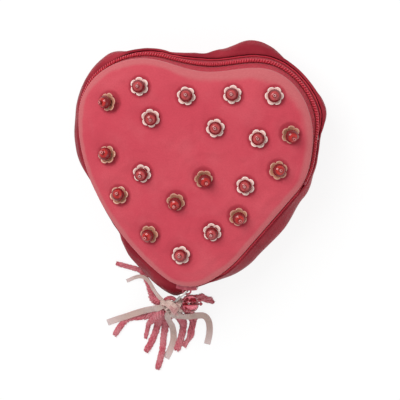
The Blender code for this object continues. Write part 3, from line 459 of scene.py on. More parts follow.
# The tassel's free strands
tassel = {"knot": Vector((-0.00919, -0.071683, 0.0347)), "yarnRadius": 0.00125, "ribbonThick": 0.0003,
          "ply": 0.00082, "reach": 0.00074, "twist": 0.0105, "fibres": 15000, "fibreReach": 0.00085,
          "farthest": 0.0033}
ribbonRoutes = {
    "ribbon_left": (0.0036, (
        (-0.0126, -0.0726, 0.0312), (-0.0168, -0.0746, 0.0272), (-0.0208, -0.0776, 0.0172),
        (-0.0260, -0.0810, 0.0070), (-0.0310, -0.0836, 0.0036), (-0.0370, -0.0864, 0.0033),
        (-0.0420, -0.0888, 0.0018), (-0.0482, -0.0919, 0.0006))),
    "ribbon_front": (0.0036, (
        (-0.0097, -0.0752, 0.0312), (-0.0102, -0.0785, 0.0275), (-0.0104, -0.0828, 0.0188),
        (-0.0100, -0.0878, 0.0088), (-0.0098, -0.0932, 0.0021), (-0.0098, -0.0985, 0.0006),
        (-0.0112, -0.1040, 0.0006), (-0.0130, -0.1086, 0.0006))),
    "ribbon_right": (0.0036, (
        (-0.0063, -0.0738, 0.0312), (-0.0045, -0.0765, 0.0282), (-0.0030, -0.0788, 0.0215),
        (-0.0004, -0.0801, 0.0145), (0.0034, -0.0804, 0.0085), (0.0072, -0.0812, 0.0040),
        (0.0096, -0.0850, 0.0012), (0.0104, -0.0912, 0.0006), (0.0096, -0.0978, 0.0006))),
    "ribbon_back": (0.0021, (
        (-0.0121, -0.0695, 0.0312), (-0.0158, -0.0682, 0.0275), (-0.0203, -0.0665, 0.0185),
        (-0.0243, -0.0643, 0.0105), (-0.0280, -0.0627, 0.0058), (-0.0317, -0.0629, 0.0034),
        (-0.0352, -0.0646, 0.0008), (-0.0390, -0.0668, 0.0006))),
}
yarnRoutes = {
    "yarn_far_left": (
        (-0.0135, -0.0714, 0.0262), (-0.0172, -0.0718, 0.0225), (-0.0207, -0.0716, 0.0165),
        (-0.0237, -0.0686, 0.0090), (-0.0270, -0.0648, 0.0034), (-0.0316, -0.0599, 0.0012),
        (-0.0384, -0.0585, 0.0011), (-0.0457, -0.0572, 0.0011)),
    "yarn_left": (
        (-0.0129, -0.0737, 0.0262), (-0.0163, -0.0765, 0.0205), (-0.0203, -0.0812, 0.0105),
        (-0.0245, -0.0848, 0.0027), (-0.0301, -0.0864, 0.0011), (-0.0366, -0.0883, 0.0011),
        (-0.0405, -0.0930, 0.0011), (-0.0436, -0.0988, 0.0011)),
    "yarn_short": (
        (-0.0122, -0.0747, 0.0289), (-0.0158, -0.0790, 0.0255), (-0.0203, -0.0842, 0.0165),
        (-0.0237, -0.0888, 0.0055), (-0.0249, -0.0933, 0.0011), (-0.0256, -0.0985, 0.0011)),
    "yarn_front_left": (
        (-0.0112, -0.0754, 0.0262), (-0.0135, -0.0789, 0.0205), (-0.0168, -0.0842, 0.0095),
        (-0.0190, -0.0892, 0.0020), (-0.0203, -0.0945, 0.0011), (-0.0222, -0.1005, 0.0011),
        (-0.0249, -0.1061, 0.0011)),
    "yarn_front": (
        (-0.0089, -0.0759, 0.0262), (-0.0107, -0.0796, 0.0198), (-0.0134, -0.0845, 0.0094),
        (-0.0147, -0.0895, 0.0020), (-0.0153, -0.0960, 0.0011), (-0.0154, -0.1030, 0.0011),
        (-0.0163, -0.1095, 0.0011), (-0.0175, -0.1155, 0.0011)),
    "yarn_front_right": (
        (-0.0065, -0.0749, 0.0262), (-0.0056, -0.0785, 0.0200), (-0.0049, -0.0835, 0.0090),
        (-0.0046, -0.0885, 0.0016), (-0.0050, -0.0940, 0.0011), (-0.0062, -0.0992, 0.0011),
        (-0.0074, -0.1035, 0.0011)),
    "yarn_right": (
        (-0.0051, -0.0728, 0.0262), (-0.0022, -0.0750, 0.0192), (0.0000, -0.0796, 0.0090),
        (0.0006, -0.0850, 0.0020), (0.0003, -0.0905, 0.0011), (-0.0010, -0.0955, 0.0011),
        (-0.0034, -0.1008, 0.0011)),
    "yarn_far_right": (
        (-0.0051, -0.0702, 0.0262), (-0.0020, -0.0692, 0.0240), (0.0016, -0.0680, 0.0205),
        (0.0054, -0.0684, 0.0150), (0.0082, -0.0703, 0.0080), (0.0100, -0.0724, 0.0022),
        (0.0116, -0.0735, 0.0011)),
}


def organza():
    finish = Finish("organza ribbon", rough=0.45, sheen=0.3, specular=0.4)
    warp, weft = finish.threads(0.00034, 0.00030)
    cloth = warp * 0.5 + weft * 0.5
    patch = finish.noise(220.0)
    end = finish.share("end")
    hem = finish.range(finish.share("hem"), 0.62, 0.95)
    colour = finish.mixColour(patch, rgb(0.50, 0.345, 0.29), rgb(0.60, 0.42, 0.36))
    colour = finish.mixColour(hem * 0.7, colour, rgb(0.62, 0.26, 0.26))
    colour = finish.mixColour(end, colour, rgb(0.80, 0.62, 0.63))
    finish.put("colour", finish.mixColour(finish.range(cloth, -0.6, 0.8), colour, rgb(0.74, 0.55, 0.50)))
    finish.put("alpha", 0.9 - end * 0.25 - finish.range(cloth, 0.2, 1.0) * 0.08)
    finish.bump(cloth, 0.5, 0.00006)
    finish.material.surface_render_method = "DITHERED"
    return finish


def chenille():
    finish = Finish("chenille yarn", rough=0.95, sheen=0.6, sheenRough=0.5, specular=0.15,
                    sheenTint=rgb(0.95, 0.72, 0.74))
    clumps = finish.noise(900.0, 4.0)
    wide = finish.noise(110.0, 2.0)
    colour = finish.mixColour(finish.range(clumps, 0.35, 0.68), rgb(0.52, 0.08, 0.115),
                              rgb(0.68, 0.185, 0.225))
    finish.put("colour", finish.mixColour(finish.range(wide, 0.42, 0.7) * 0.7, colour, rgb(0.68, 0.27, 0.30)))
    finish.bump(clumps, 0.8, 0.0003)
    return finish


def ribbonStrip(name, width, points, finish):
    route, length = smoothRoute(points, 0.0009)
    _, beside, above = frameOf(route)
    count, across = len(route), 13
    t = np.linspace(0, 1, count)
    side = np.linspace(-1, 1, across)
    phase = np.random.default_rng(len(name)).uniform(0, 6)
    taper = np.minimum(1, 0.55 + t * 6)
    cup = 0.00022 * np.sin(phase + t * 9.0)
    flutter = 0.00018 * np.sin(phase * 2 + t * 23.0)
    grid = np.zeros((count, across, 3))
    for j, s in enumerate(side):
        lift = cup * (s * s - 0.4) + flutter * s * (1 - t)
        grid[:, j] = route + beside * (s * width / 2 * taper)[:, None] + above * lift[:, None]
    strip = addSkin(name + "_cloth", grid, finish, None, "sheer_ribbon", step=(0.0009, width / (across - 1)))
    thicken(strip, tassel["ribbonThick"], "tassel", name, offset=0)
    reached, away = alongShare(strip, route)
    setShare(strip, "end", np.clip((reached - 0.72) / 0.28, 0, 1) ** 1.5)
    setShare(strip, "hem", away / (width / 2))
    return length


def alongShare(piece, route):
    # For each vertex, how far along the route its nearest point lies, and how far off the route it is
    verts = np.array([v.co for v in piece.data.vertices])
    away = ((verts[:, None] - route[None]) ** 2).sum(-1)
    return away.argmin(1) / (len(route) - 1), np.sqrt(away.min(1))


def setShare(piece, name, values):
    attribute = piece.data.attributes.new(name, "FLOAT", "POINT")
    attribute.data.foreach_set("value", np.asarray(values, np.float32))


def addFibres(verts, faces, route, radius, seed, perMetre, reach):
    # Short loose fibres that stand out of a yarn, each a slim triangle
    rng = np.random.default_rng(seed)
    along, beside, above = frameOf(route)
    total = np.linalg.norm(np.diff(route, axis=0), axis=1).sum()
    start = len(verts)
    fibres = int(total * perMetre)
    place = rng.uniform(0, len(route) - 1.001, fibres)
    turn = rng.uniform(0, 2 * math.pi, fibres)
    tall = rng.uniform(0.4, 1.0, fibres) * reach
    slant = rng.normal(0, 0.6, fibres)
    k = place.astype(int)
    f = (place - k)[:, None]
    middle = route[k] * (1 - f) + route[k + 1] * f
    out = beside[k] * np.cos(turn)[:, None] + above[k] * np.sin(turn)[:, None]
    foot = middle + out * radius * 0.8
    tip = middle + out * (radius + tall)[:, None] + along[k] * (slant * tall)[:, None]
    tip[:, 2] = np.maximum(tip[:, 2], 0.0001)
    wide = np.cross(out, along[k]) * 0.00009
    verts = np.vstack((verts, np.stack((foot - wide, foot + wide, tip), 1).reshape(-1, 3)))
    faces = faces + [(start + 3 * i, start + 3 * i + 1, start + 3 * i + 2) for i in range(fibres)]
    return verts, faces


def addPly(verts, faces, path, radius, seed):
    # One ply of yarn: a rough round strand, and the fibres that stand out of it
    rng = np.random.default_rng(seed)
    count, sides = len(path), 9
    t = np.linspace(0, 1, count)
    lumps = np.interp(t, np.linspace(0, 1, count // 3), rng.uniform(0.84, 1.12, count // 3))
    taper = np.minimum(1, 0.6 + t * 6) * np.minimum(1, 0.5 + (1 - t) * 10)
    rings = tube(path, radius * lumps * taper, sides)
    middle = path[:, None]
    rings = middle + (rings - middle) * rng.uniform(0.84, 1.14, (count, sides, 1))
    rings[:, :, 2] = np.maximum(rings[:, :, 2], 0.00012)
    verts, faces = joined(verts, faces, rings, caps=True)
    return addFibres(verts, faces, path, radius * 0.9, seed + 1, tassel["fibres"], tassel["fibreReach"])


# How wide each yarn is beside the others, and where its four plies lie if they are fanned out
yarnWidths = {"yarn_short": 0.8, "yarn_left": 1.3, "yarn_front_left": 1.5, "yarn_front": 1.35,
              "yarn_front_right": 1.5, "yarn_right": 1.1}
yarnFans = {"yarn_far_right": (-0.0010, 0.0001, 0.0010, 0.0017),
            "yarn_right": (-0.0014, -0.0005, 0.0004, 0.0013)}


def yarnStrand(name, points, finish):
    route, length = smoothRoute(points, 0.0006)
    t = np.linspace(0, 1, len(route))
    _, beside, above = frameOf(route)
    wide = yarnWidths.get(name, 1.0)
    reach = tassel["reach"] * np.minimum(2.1, wide * (1 + 1.4 * np.clip(1 - t * 1.5, 0, 1)))
    fan = yarnFans.get(name)
    verts, faces = np.zeros((0, 3)), []
    for k in range(4):
        turn = 2 * math.pi * (k / 4 + length * t / tassel["twist"])
        side, rise = reach * np.cos(turn), reach * 0.7 * np.sin(turn)
        if fan:
            fade = np.interp(t, (0, 0.12, 0.55, 0.9), (0.3, 1, 1, 0.6))
            side = side * (1 - fade * 0.75) + fan[k] * fade
        path = route + beside * side[:, None] + above * rise[:, None]
        path[:, 2] = np.maximum(path[:, 2], tassel["ply"])
        seed = sum(map(ord, name)) + 10 * k
        verts, faces = addPly(verts, faces, path, tassel["ply"] * wide ** 0.5, seed)
    # No fibre stands further out than the farthest
    middle = route[((verts[:, None] - route[None]) ** 2).sum(-1).argmin(1)]
    away = np.linalg.norm(verts - middle, axis=1, keepdims=True)
    verts = middle + (verts - middle) * np.minimum(1, tassel["farthest"] / np.maximum(away, 1e-6))
    piece = addPiece(name + "_fuzz", verts, faces, finish, "tassel", "chenille_yarn", name)
    return length


organzaFinish, chenilleFinish = organza(), chenille()
for name, (width, points) in ribbonRoutes.items():
    print("Ribbon", name, round(ribbonStrip(name, width, points, organzaFinish) * 1000, 1), "mm")
for name, points in yarnRoutes.items():
    print("Yarn", name, round(yarnStrand(name, points, chenilleFinish) * 1000, 1), "mm")

# Floor, lamps and world
studio = {"floorGlow": 0.82, "floorLevel": 1.04, "floorSize": 3.0, "worldLevel": 0.50,
          "key": ((-0.30, 0.34, 0.75), 0.50, 4.4), "fill": ((0.55, -0.35, 0.6), 0.8, 1.2)}


def addLamp(name, place, size, power):
    data = bpy.data.lights.new(name, "AREA")
    data.shape, data.size, data.energy = "SQUARE", size, power
    lamp = bpy.data.objects.new(name, data)
    bpy.context.scene.collection.objects.link(lamp)
    lamp.location = place
    lamp.rotation_euler = (Vector(view["target"]) - Vector(place)).to_track_quat("-Z", "Y").to_euler()


def seenDirectly(finish):
    path = finish.add("ShaderNodeLightPath")
    camera, glossy, through = (Socket(finish, path.socket.node.outputs[key]) for key in
                               ("Is Camera Ray", "Is Glossy Ray", "Is Transmission Ray"))
    return finish.add("ShaderNodeMath", {"operation": "MINIMUM"}, {0: camera + glossy + through, 1: 1.0})


def setStudio():
    floor = Finish("pale floor", rough=0.9, colour=rgb(0.93, 0.93, 0.93), specular=0.0)
    glow = floor.add("ShaderNodeEmission", None, {"Color": rgb(1, 1, 1), "Strength": studio["floorLevel"]})
    factor = seenDirectly(floor) * studio["floorGlow"]
    plain = Socket(floor, floor.shader.outputs[0])
    mixed = floor.add("ShaderNodeMixShader", None, {0: factor, 1: plain, 2: glow})
    floor.tree.links.new(mixed.socket, floor.tree.nodes["Material Output"].inputs["Surface"])
    size = studio["floorSize"]
    corners = [(-size, -size, 0), (size, -size, 0), (size, size, 0), (-size, size, 0)]
    addPiece("floor", corners, [(0, 1, 2, 3)], floor, None, None, smooth=False)
    world = bpy.context.scene.world or bpy.data.worlds.new("studio")
    bpy.context.scene.world = world
    world.use_nodes = True
    tree = world.node_tree
    tree.nodes.clear()
    path = tree.nodes.new("ShaderNodeLightPath")
    soft, plain = tree.nodes.new("ShaderNodeBackground"), tree.nodes.new("ShaderNodeBackground")
    soft.inputs["Strength"].default_value = studio["worldLevel"]
    plain.inputs["Color"].default_value = soft.inputs["Color"].default_value = rgb(1, 1, 1)
    mix, out = tree.nodes.new("ShaderNodeMixShader"), tree.nodes.new("ShaderNodeOutputWorld")
    tree.links.new(path.outputs["Is Camera Ray"], mix.inputs[0])
    tree.links.new(soft.outputs[0], mix.inputs[1])
    tree.links.new(plain.outputs[0], mix.inputs[2])
    tree.links.new(mix.outputs[0], out.inputs[0])
    addLamp("key", *studio["key"])
    addLamp("fill", *studio["fill"])
    bpy.context.scene.view_settings.view_transform = "Standard"


setStudio()
print("Studio set")


# Finishes of the bag

def velvetFinish():
    finish = Finish("pink velvet", rough=0.92, sheen=0.45, sheenRough=0.42, specular=0.12,
                    sheenTint=rgb(1.0, 0.80, 0.80))
    rim = finish.share("rim")
    cloud = finish.noise(24.0, 2.0)
    streak = finish.noise(75.0, 3.0)
    pile = finish.noise(1900.0, 2.0)
    colour = finish.mixColour(finish.range(cloud, 0.35, 0.68), velvet["low"], velvet["middle"])
    colour = finish.mixColour(finish.range(streak, 0.45, 0.75) * 0.35, colour, velvet["brushed"])
    # Painted sheen: paler along the lid's edge, unevenly
    edge = finish.range(rim + (streak - 0.5) * 0.6 + (cloud - 0.5) * 0.6, 0.2, 0.7)
    colour = finish.mixColour(edge * 0.8, colour, velvet["rim"])
    # Painted shadow: darker close round each flower
    colour = finish.mixColour(finish.range(finish.share("paintedFlowerShadow"), 0.1, 0.9) * 0.8, colour, velvet["deep"])
    shade = finish.range(pile, 0.3, 0.7)
    finish.put("colour", finish.mixColour(shade * 0.22, colour, velvet["deep"]))
    finish.bump(pile + streak * 0.5, 0.35, 0.00022)
    return finish


def satinFinish(name, dark, light, rough=0.36):
    finish = Finish(name, rough=rough, sheen=0.0, sheenRough=0.3, specular=0.02, brushed=0.4)
    warp, weft = finish.threads(0.00042, 0.00026)
    fold = finish.noise(60.0, 3.0)
    colour = finish.mixColour(finish.range(fold, 0.3, 0.7), dark, light)
    finish.put("colour", finish.mixColour(finish.range(warp + weft, -1.4, 1.6) * 0.25, colour, light))
    finish.put("rough", rough + finish.range(fold, 0.3, 0.75) * 0.12)
    finish.bump(warp * 0.4 + weft * 0.6, 0.25, 0.00005)
    return finish


def tapeFinish():
    finish = Finish("woven zip tape", rough=0.7, sheen=0.1, specular=0.12)
    warp, weft = finish.threads(0.0009, 0.00062)
    rib = finish.range(weft, -0.7, 0.9)
    worn = finish.noise(240.0, 3.0)
    colour = finish.mixColour(rib, rgb(0.44, 0.030, 0.052), rgb(0.58, 0.055, 0.082))
    finish.put("colour", finish.mixColour(finish.range(worn, 0.45, 0.8) * 0.3, colour, rgb(0.62, 0.09, 0.11)))
    finish.bump(rib + warp * 0.25, 0.6, 0.00012)
    return finish


def coilFinish():
    finish = Finish("nylon coil", rough=0.36, specular=0.3, coat=0.1)
    worn = finish.noise(500.0, 2.0)
    finish.put("colour", finish.mixColour(worn, rgb(0.62, 0.045, 0.075), rgb(0.78, 0.08, 0.115)))
    finish.put("rough", 0.26 + worn * 0.16)
    return finish


def paintFinish():
    finish = Finish("pink lacquer on metal", rough=0.3, coat=0.5, coatRough=0.12, metallic=0.15)
    worn = finish.noise(650.0, 4.0)
    finish.put("colour", finish.mixColour(finish.range(worn, 0.35, 0.7), rgb(0.44, 0.055, 0.09),
                                          rgb(0.60, 0.12, 0.15)))
    finish.put("rough", 0.24 + worn * 0.2)
    finish.bump(worn, 0.15, 0.00008)
    return finish


def nickelFinish():
    finish = Finish("polished nickel", rough=0.2, metallic=1.0)
    scratch = finish.noise(900.0, 5.0)
    tarnish = finish.noise(160.0, 2.0)
    finish.put("colour", finish.mixColour(finish.range(tarnish, 0.35, 0.75), rgb(0.80, 0.77, 0.74),
                                          rgb(0.52, 0.47, 0.45)))
    finish.put("rough", 0.16 + scratch * 0.22)
    finish.bump(scratch, 0.12, 0.00004)
    return finish


def liningFinish():
    finish = Finish("smooth lining", rough=0.5, sheen=0.2, specular=0.4)
    warp, weft = finish.threads(0.0005, 0.0005)
    cloud = finish.noise(45.0, 2.0)
    colour = finish.mixColour(finish.range(cloud, 0.3, 0.7), rgb(0.40, 0.075, 0.105), rgb(0.50, 0.12, 0.15))
    thread = finish.range(warp * weft, -0.8, 0.8) * 0.3
    finish.put("colour", finish.mixColour(thread, colour, rgb(0.30, 0.05, 0.075)))
    finish.bump(warp * 0.5 + weft * 0.5, 0.4, 0.00006)
    return finish


def cardFinish():
    finish = Finish("grey board", rough=0.85, specular=0.2)
    fibre = finish.noise(700.0, 4.0)
    finish.put("colour", finish.mixColour(fibre, rgb(0.40, 0.34, 0.26), rgb(0.62, 0.54, 0.42)))
    finish.bump(fibre, 0.4, 0.0001)
    return finish


def foamFinish():
    finish = Finish("open foam", rough=0.95, specular=0.1)
    pores = finish.add("ShaderNodeTexVoronoi", None, {"Vector": finish.place(), "Scale": 1100.0},
                       out="Distance")
    finish.put("colour", finish.mixColour(pores, rgb(0.62, 0.52, 0.36), rgb(0.86, 0.79, 0.62)))
    finish.bump(pores, 0.6, 0.0002)
    return finish


def threadFinish(name, colour):
    finish = Finish(name, rough=0.55, sheen=0.3)
    ply = finish.noise(2600.0, 2.0)
    finish.put("colour", finish.mixColour(ply, tuple(0.7 * c for c in colour[:3]) + (1.0,), colour))
    finish.bump(ply, 0.4, 0.00006)
    return finish


velvet = {"middle": rgb(0.64, 0.088, 0.118), "low": rgb(0.60, 0.068, 0.10), "brushed": rgb(0.66, 0.12, 0.15),
          # rim is the colour of the painted sheen along the lid's edge
          "rim": rgb(0.60, 0.165, 0.175), "deep": rgb(0.40, 0.035, 0.055),
          "pitch": 0.0015, "edgeStep": 0.0014, "edgeInset": 0.00065, "thick": 0.0006,
          "dimple": 0.0005, "dimpleWide": 0.0036, "sewn": 0.0022, "hemmed": 0.0016,
          "puff": 0.0011, "puffFrom": 0.0052, "puffSlope": 0.006, "edgeSlope": 0.008,
          "paintedSheenWide": (0.0035, 0.0055), "paintedSheenToward": math.radians(62),
          # How far the painted shadow round each flower reaches, in the colour deep, which also darkens the
          # pile
          "paintedShadowTo": 0.0067, "paintedShadowSlope": 0.0014,
          # Distances out of the edge and heights, down round the rolled edge and along the hem
          "rolledEdge": ((-0.00045, 0.04245), (-0.00015, 0.0420), (0.0, 0.0414), (0.0, 0.0408),
                         (-0.00018, 0.0402), (-0.0006, 0.03975), (-0.0012, 0.0396), (-0.003, 0.0396),
                         (-0.005, 0.0396))}
finishes = {"velvet": velvetFinish(),
            "satin": satinFinish("crimson satin", rgb(0.25, 0.016, 0.028), rgb(0.40, 0.038, 0.055)),
            "hem": satinFinish("folded satin hem", rgb(0.42, 0.026, 0.045), rgb(0.60, 0.06, 0.085)),
            "tape": tapeFinish(), "coil": coilFinish(), "paint": paintFinish(), "nickel": nickelFinish(),
            "lining": liningFinish(), "card": cardFinish(), "foam": foamFinish(),
            "stitch": threadFinish("crimson thread", rgb(0.40, 0.045, 0.07))}


# Soft pieces settle as cloth

def settleCloth(piece, held, own, high):
    # Runs the cloth, then keeps each point within its limits out of and into the surface
    scene = bpy.context.scene
    start = np.array([v.co for v in piece.data.vertices])
    normals = np.array([v.normal for v in piece.data.vertices])
    group = piece.vertex_groups.new(name="held")
    for level in np.unique(np.round(held, 1)):
        if level > 0:
            group.add([int(i) for i in np.nonzero(np.round(held, 1) == level)[0]], float(level), "REPLACE")
    cloth = piece.modifiers.new("cloth", "CLOTH")
    rules = cloth.settings
    rules.vertex_group_mass = "held"
    rules.quality = clothRules["steps"]
    rules.mass = clothRules["mass"]
    rules.tension_stiffness = rules.compression_stiffness = rules.shear_stiffness = own["stiffness"]
    rules.bending_stiffness = clothRules["bend"]
    rules.air_damping = clothRules["air"]
    rules.shrink_min = own["shrink"]
    rules.use_pressure = True
    rules.uniform_pressure_force = own["pressure"]
    rules.effector_weights.gravity = 0.0
    cloth.point_cache.frame_start, cloth.point_cache.frame_end = 1, own["frames"]
    scene.frame_start, scene.frame_end = 1, own["frames"]
    for step in range(1, own["frames"] + 1):
        scene.frame_set(step)
    settled = piece.evaluated_get(bpy.context.evaluated_depsgraph_get()).to_mesh()
    end = np.array([v.co for v in settled.vertices])
    piece.modifiers.clear()
    scene.frame_set(1)
    outward = ((end - start) * normals).sum(1)
    low = own["sink"]
    print("  settled", piece.name, "moves", round(float(outward.min()) * 1000, 2), "to",
          round(float(outward.max()) * 1000, 2), "mm")
    outward = np.where(outward > 0, high * np.tanh(outward / np.max(high)), low * np.tanh(outward / low))
    return start, normals, outward


# Sink and swell are the furthest that a point may move in and out, in metres
clothRules = {"mass": 0.0002, "bend": 0.005, "air": 2.0, "steps": 6}
lidCloth = {"frames": 18, "pressure": 4.0, "shrink": -0.02, "stiffness": 4.0, "sink": 0.0003}
wallCloth = {"frames": 16, "pressure": 2.0, "shrink": -0.022, "stiffness": 3.0, "sink": 0.0003,
             "swell": 0.0007, "evened": 4}
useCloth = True


# The padded lid

# Each flower's place as shares of the lid, the way it leans, by how many degrees, and if it is painted lit,
# pale with a painted highlight, where the others keep the sequin's tan
flowerPlaces = (
    (-0.498, 0.876, 90, 2, 1), (-0.735, 0.797, 187, 30, 0), (-0.111, 0.852, 60, 7, 1),
    (0.279, 0.876, 90, 2, 1), (0.637, 0.885, 30, 6, 1), (-0.385, 0.743, -35, 10, 1),
    (0.158, 0.724, 20, 4, 1), (0.536, 0.695, 80, 2, 1), (0.804, 0.728, -40, 26, 0),
    (-0.717, 0.562, 135, 18, 0), (-0.419, 0.496, -90, 8, 1), (0.727, 0.565, 20, 16, 0),
    (0.090, 0.500, -35, 26, 0), (0.461, 0.483, 90, 2, 1), (-0.596, 0.386, 95, 14, 0),
    (-0.124, 0.386, -85, 16, 0), (0.419, 0.346, -35, 18, 0), (-0.320, 0.228, -130, 14, 0),
    (0.207, 0.266, -80, 8, 1), (-0.048, 0.147, 90, 3, 1))


def flowerPlace(across, along):
    half = widest["right" if across > 0 else "left"].x
    return half * across, heart["lobeTop"] * along - heart["originFromTip"]


flowerXY = np.array([flowerPlace(row[0], row[1]) for row in flowerPlaces])


def heartShare(points, inset):
    # Share of the way from the middle to the edge, and the distance left to the edge
    ring = atEdge(edgeStations[:-1], -inset, 0.0)[:, :2]
    angles = np.arctan2(ring[:, 1], ring[:, 0])
    order = np.argsort(angles)
    reach = np.interp(np.arctan2(points[:, 1], points[:, 0]), angles[order],
                      np.linalg.norm(ring, axis=1)[order], period=2 * math.pi)
    distance = np.linalg.norm(points, axis=1)
    return np.clip(distance / reach, 0, 1), np.maximum(reach - distance, 0)


def crownZ(share):
    return levels["lidEdge"] + levels["crown"] * (1 - np.clip(share, 0, 1) ** 4) ** 0.63


def lidTop():
    # Evenly spaced triangles inside the heart, with the edge's own points first
    stations = evenStations(0, heart["stations"], velvet["edgeStep"])[:-1]
    rim = atEdge(stations, -velvet["edgeInset"], 0.0)[:, :2]
    pitch = velvet["pitch"]
    rows = []
    for k, y in enumerate(np.arange(rim[:, 1].min(), rim[:, 1].max(), pitch * 0.866)):
        xs = np.arange(rim[:, 0].min(), rim[:, 0].max(), pitch) + (pitch / 2 if k % 2 else 0)
        rows.append(np.stack((xs, np.full(len(xs), y)), 1))
    grid = np.vstack(rows)
    gaps = ((grid[:, None] - rim[None]) ** 2).sum(-1).min(1)
    share, _ = heartShare(grid, velvet["edgeInset"])
    grid = grid[(share < 1) & (gaps > (0.75 * pitch) ** 2)]
    flat = np.vstack((rim, grid))
    count = len(rim)
    loop = [(i, (i + 1) % count) for i in range(count)]
    _, _, faces, origin, _, _ = delaunay_2d_cdt([Vector(p) for p in flat], loop, [], 1, 1e-7)
    mapping = [orig[0] for orig in origin]
    faces = [tuple(mapping[i] for i in face) for face in faces]
    return stations, flat, faces, count


def makeVelvet():
    stations, flat, faces, count = lidTop()
    share, left = heartShare(flat, velvet["edgeInset"])
    share[:count] = 1.0
    near = np.sqrt(((flat[:, None] - flowerXY[None]) ** 2).sum(-1)).min(1)
    z = crownZ(share) - velvet["dimple"] * np.exp(-(near / velvet["dimpleWide"]) ** 2)
    top = np.column_stack((flat, z))
    if useCloth:
        trial = addPiece("velvet_trial", top, faces, None, None, None)
        held = np.clip((near < velvet["sewn"]).astype(float) + (left < velvet["hemmed"]), 0, 1)
        held[:count] = 1
        free = np.clip((near - velvet["puffFrom"]) / velvet["puffSlope"], 0, 1)
        rise = velvet["puff"] * free * np.clip(left / velvet["edgeSlope"], 0, 1) + 1e-5
        start, normals, outward = settleCloth(trial, held, lidCloth, rise)
        top = start + normals * outward[:, None]
        bpy.data.objects.remove(trial)
    rings = [atEdge(stations, out, level) for out, level in velvet["rolledEdge"]]
    verts = np.vstack([top] + rings)
    base = len(top)
    previous = list(range(count))
    for k in range(len(rings)):
        current = [base + k * count + i for i in range(count)]
        for i in range(count):
            j = (i + 1) % count
            faces.append((previous[i], current[i], current[j], previous[j]))
        previous = current
    piece = addPiece("velvet_lid", verts, faces, finishes["velvet"], None, "velvet")
    # Painted sheen: the velvet is painted pale along the edge, widest at the top right
    angle = np.arctan2(flat[:, 1], flat[:, 0])
    least, more = velvet["paintedSheenWide"]
    wide = least + more * np.clip(np.cos(angle - velvet["paintedSheenToward"]), 0, 1) ** 2
    setShare(piece, "rim", np.concatenate((np.clip(1 - left / wide, 0, 1), np.ones(len(verts) - base))))
    # and a painted shadow, dark close round each flower
    paintedFlowerShadow = np.clip((velvet["paintedShadowTo"] - near) / velvet["paintedShadowSlope"], 0, 1)
    setShare(piece, "paintedFlowerShadow", np.concatenate((paintedFlowerShadow, np.zeros(len(verts) - base))))
    fixNormals(piece)
    thicken(piece, velvet["thick"], "lid", "lid_cover")


def fixNormals(piece):
    # Turns every face outward
    shape = bmesh.new()
    shape.from_mesh(piece.data)
    bmesh.ops.recalc_face_normals(shape, faces=shape.faces)
    shape.to_mesh(piece.data)
    shape.free()


makeVelvet()
print("Velvet made")


def heartPanel(name, node, finish, body, slot, inset, low, high, crown=0.0, soften=0.0002, ripple=0.0,
               seed=1):
    # A flat panel the shape of the heart, with softened edges, crowned if asked
    stations = evenStations(0, heart["stations"], 0.0022)[:-1]
    edge = atEdge(stations, -inset, 0.0)
    phases = np.random.default_rng(seed).uniform(0, 2 * math.pi, 6)
    shares = list(np.linspace(0.02, 0.97, 22))
    rings = [(s, low) for s in shares] + [(1.0, low + soften), (1.0, high - soften)]
    rings += [(s, high) for s in reversed(shares)]
    grid = []
    for s, z in rings:
        ring = edge * s
        wave = ripple * (np.sin(ring[:, 0] * 210 + phases[0]) * np.sin(ring[:, 1] * 170 + phases[1])
                         + 0.6 * np.sin(ring[:, 0] * 460 + ring[:, 1] * 380 + phases[2]))
        lift = crown * (1 - min(1, s) ** 4) ** 0.63 if z == high else 0.0
        ring[:, 2] = z + lift - (abs(ripple) * 1.7 - wave if z == high and s < 1 else 0.0)
        grid.append(ring)
    piece = addSkin(name, grid, finish, body, slot, node, closedColumns=True, caps=True,
                    step=(0.0026, 0.0022))
    fixNormals(piece)
    return piece


foam = heartPanel("foam_pad", "lid_foam", finishes["foam"], "lid", "foam", 0.0031, 0.0418, 0.0420,
                  crown=0.0031, soften=0.00005)
heartPanel("lid_lining_cloth", "lid_lining", finishes["lining"], "lid", "lining", 0.002, 0.0389, 0.0393)
heartPanel("back_lining_cloth", "back_lining", finishes["lining"], "bag", "lining", 0.0012, 0.0024, 0.0029,
           ripple=0.00008, seed=4)
heartPanel("back_panel", "back_cover", finishes["satin"], "bag", "satin", -0.0014, 0.0, 0.001, soften=0.0003)


# The soft wall

def addBand(name, stations, profile, finish, slot):
    # A strip of cloth that follows the edge: the profile gives its distance out and height at a share
    closed = abs(stations[-1] - stations[0] - heart["stations"]) < 1e-6
    used = stations[:-1] if closed else stations
    rows = [atEdge(used, *profile["at"](used, share)) for share in np.linspace(0, 1, profile["rows"])]
    step = (float(np.diff(lengthAt(stations)).mean()), profile["high"] / (profile["rows"] - 1))
    return addSkin(name, np.array(rows).transpose(1, 0, 2), finish, None, slot, closedRows=closed, step=step)


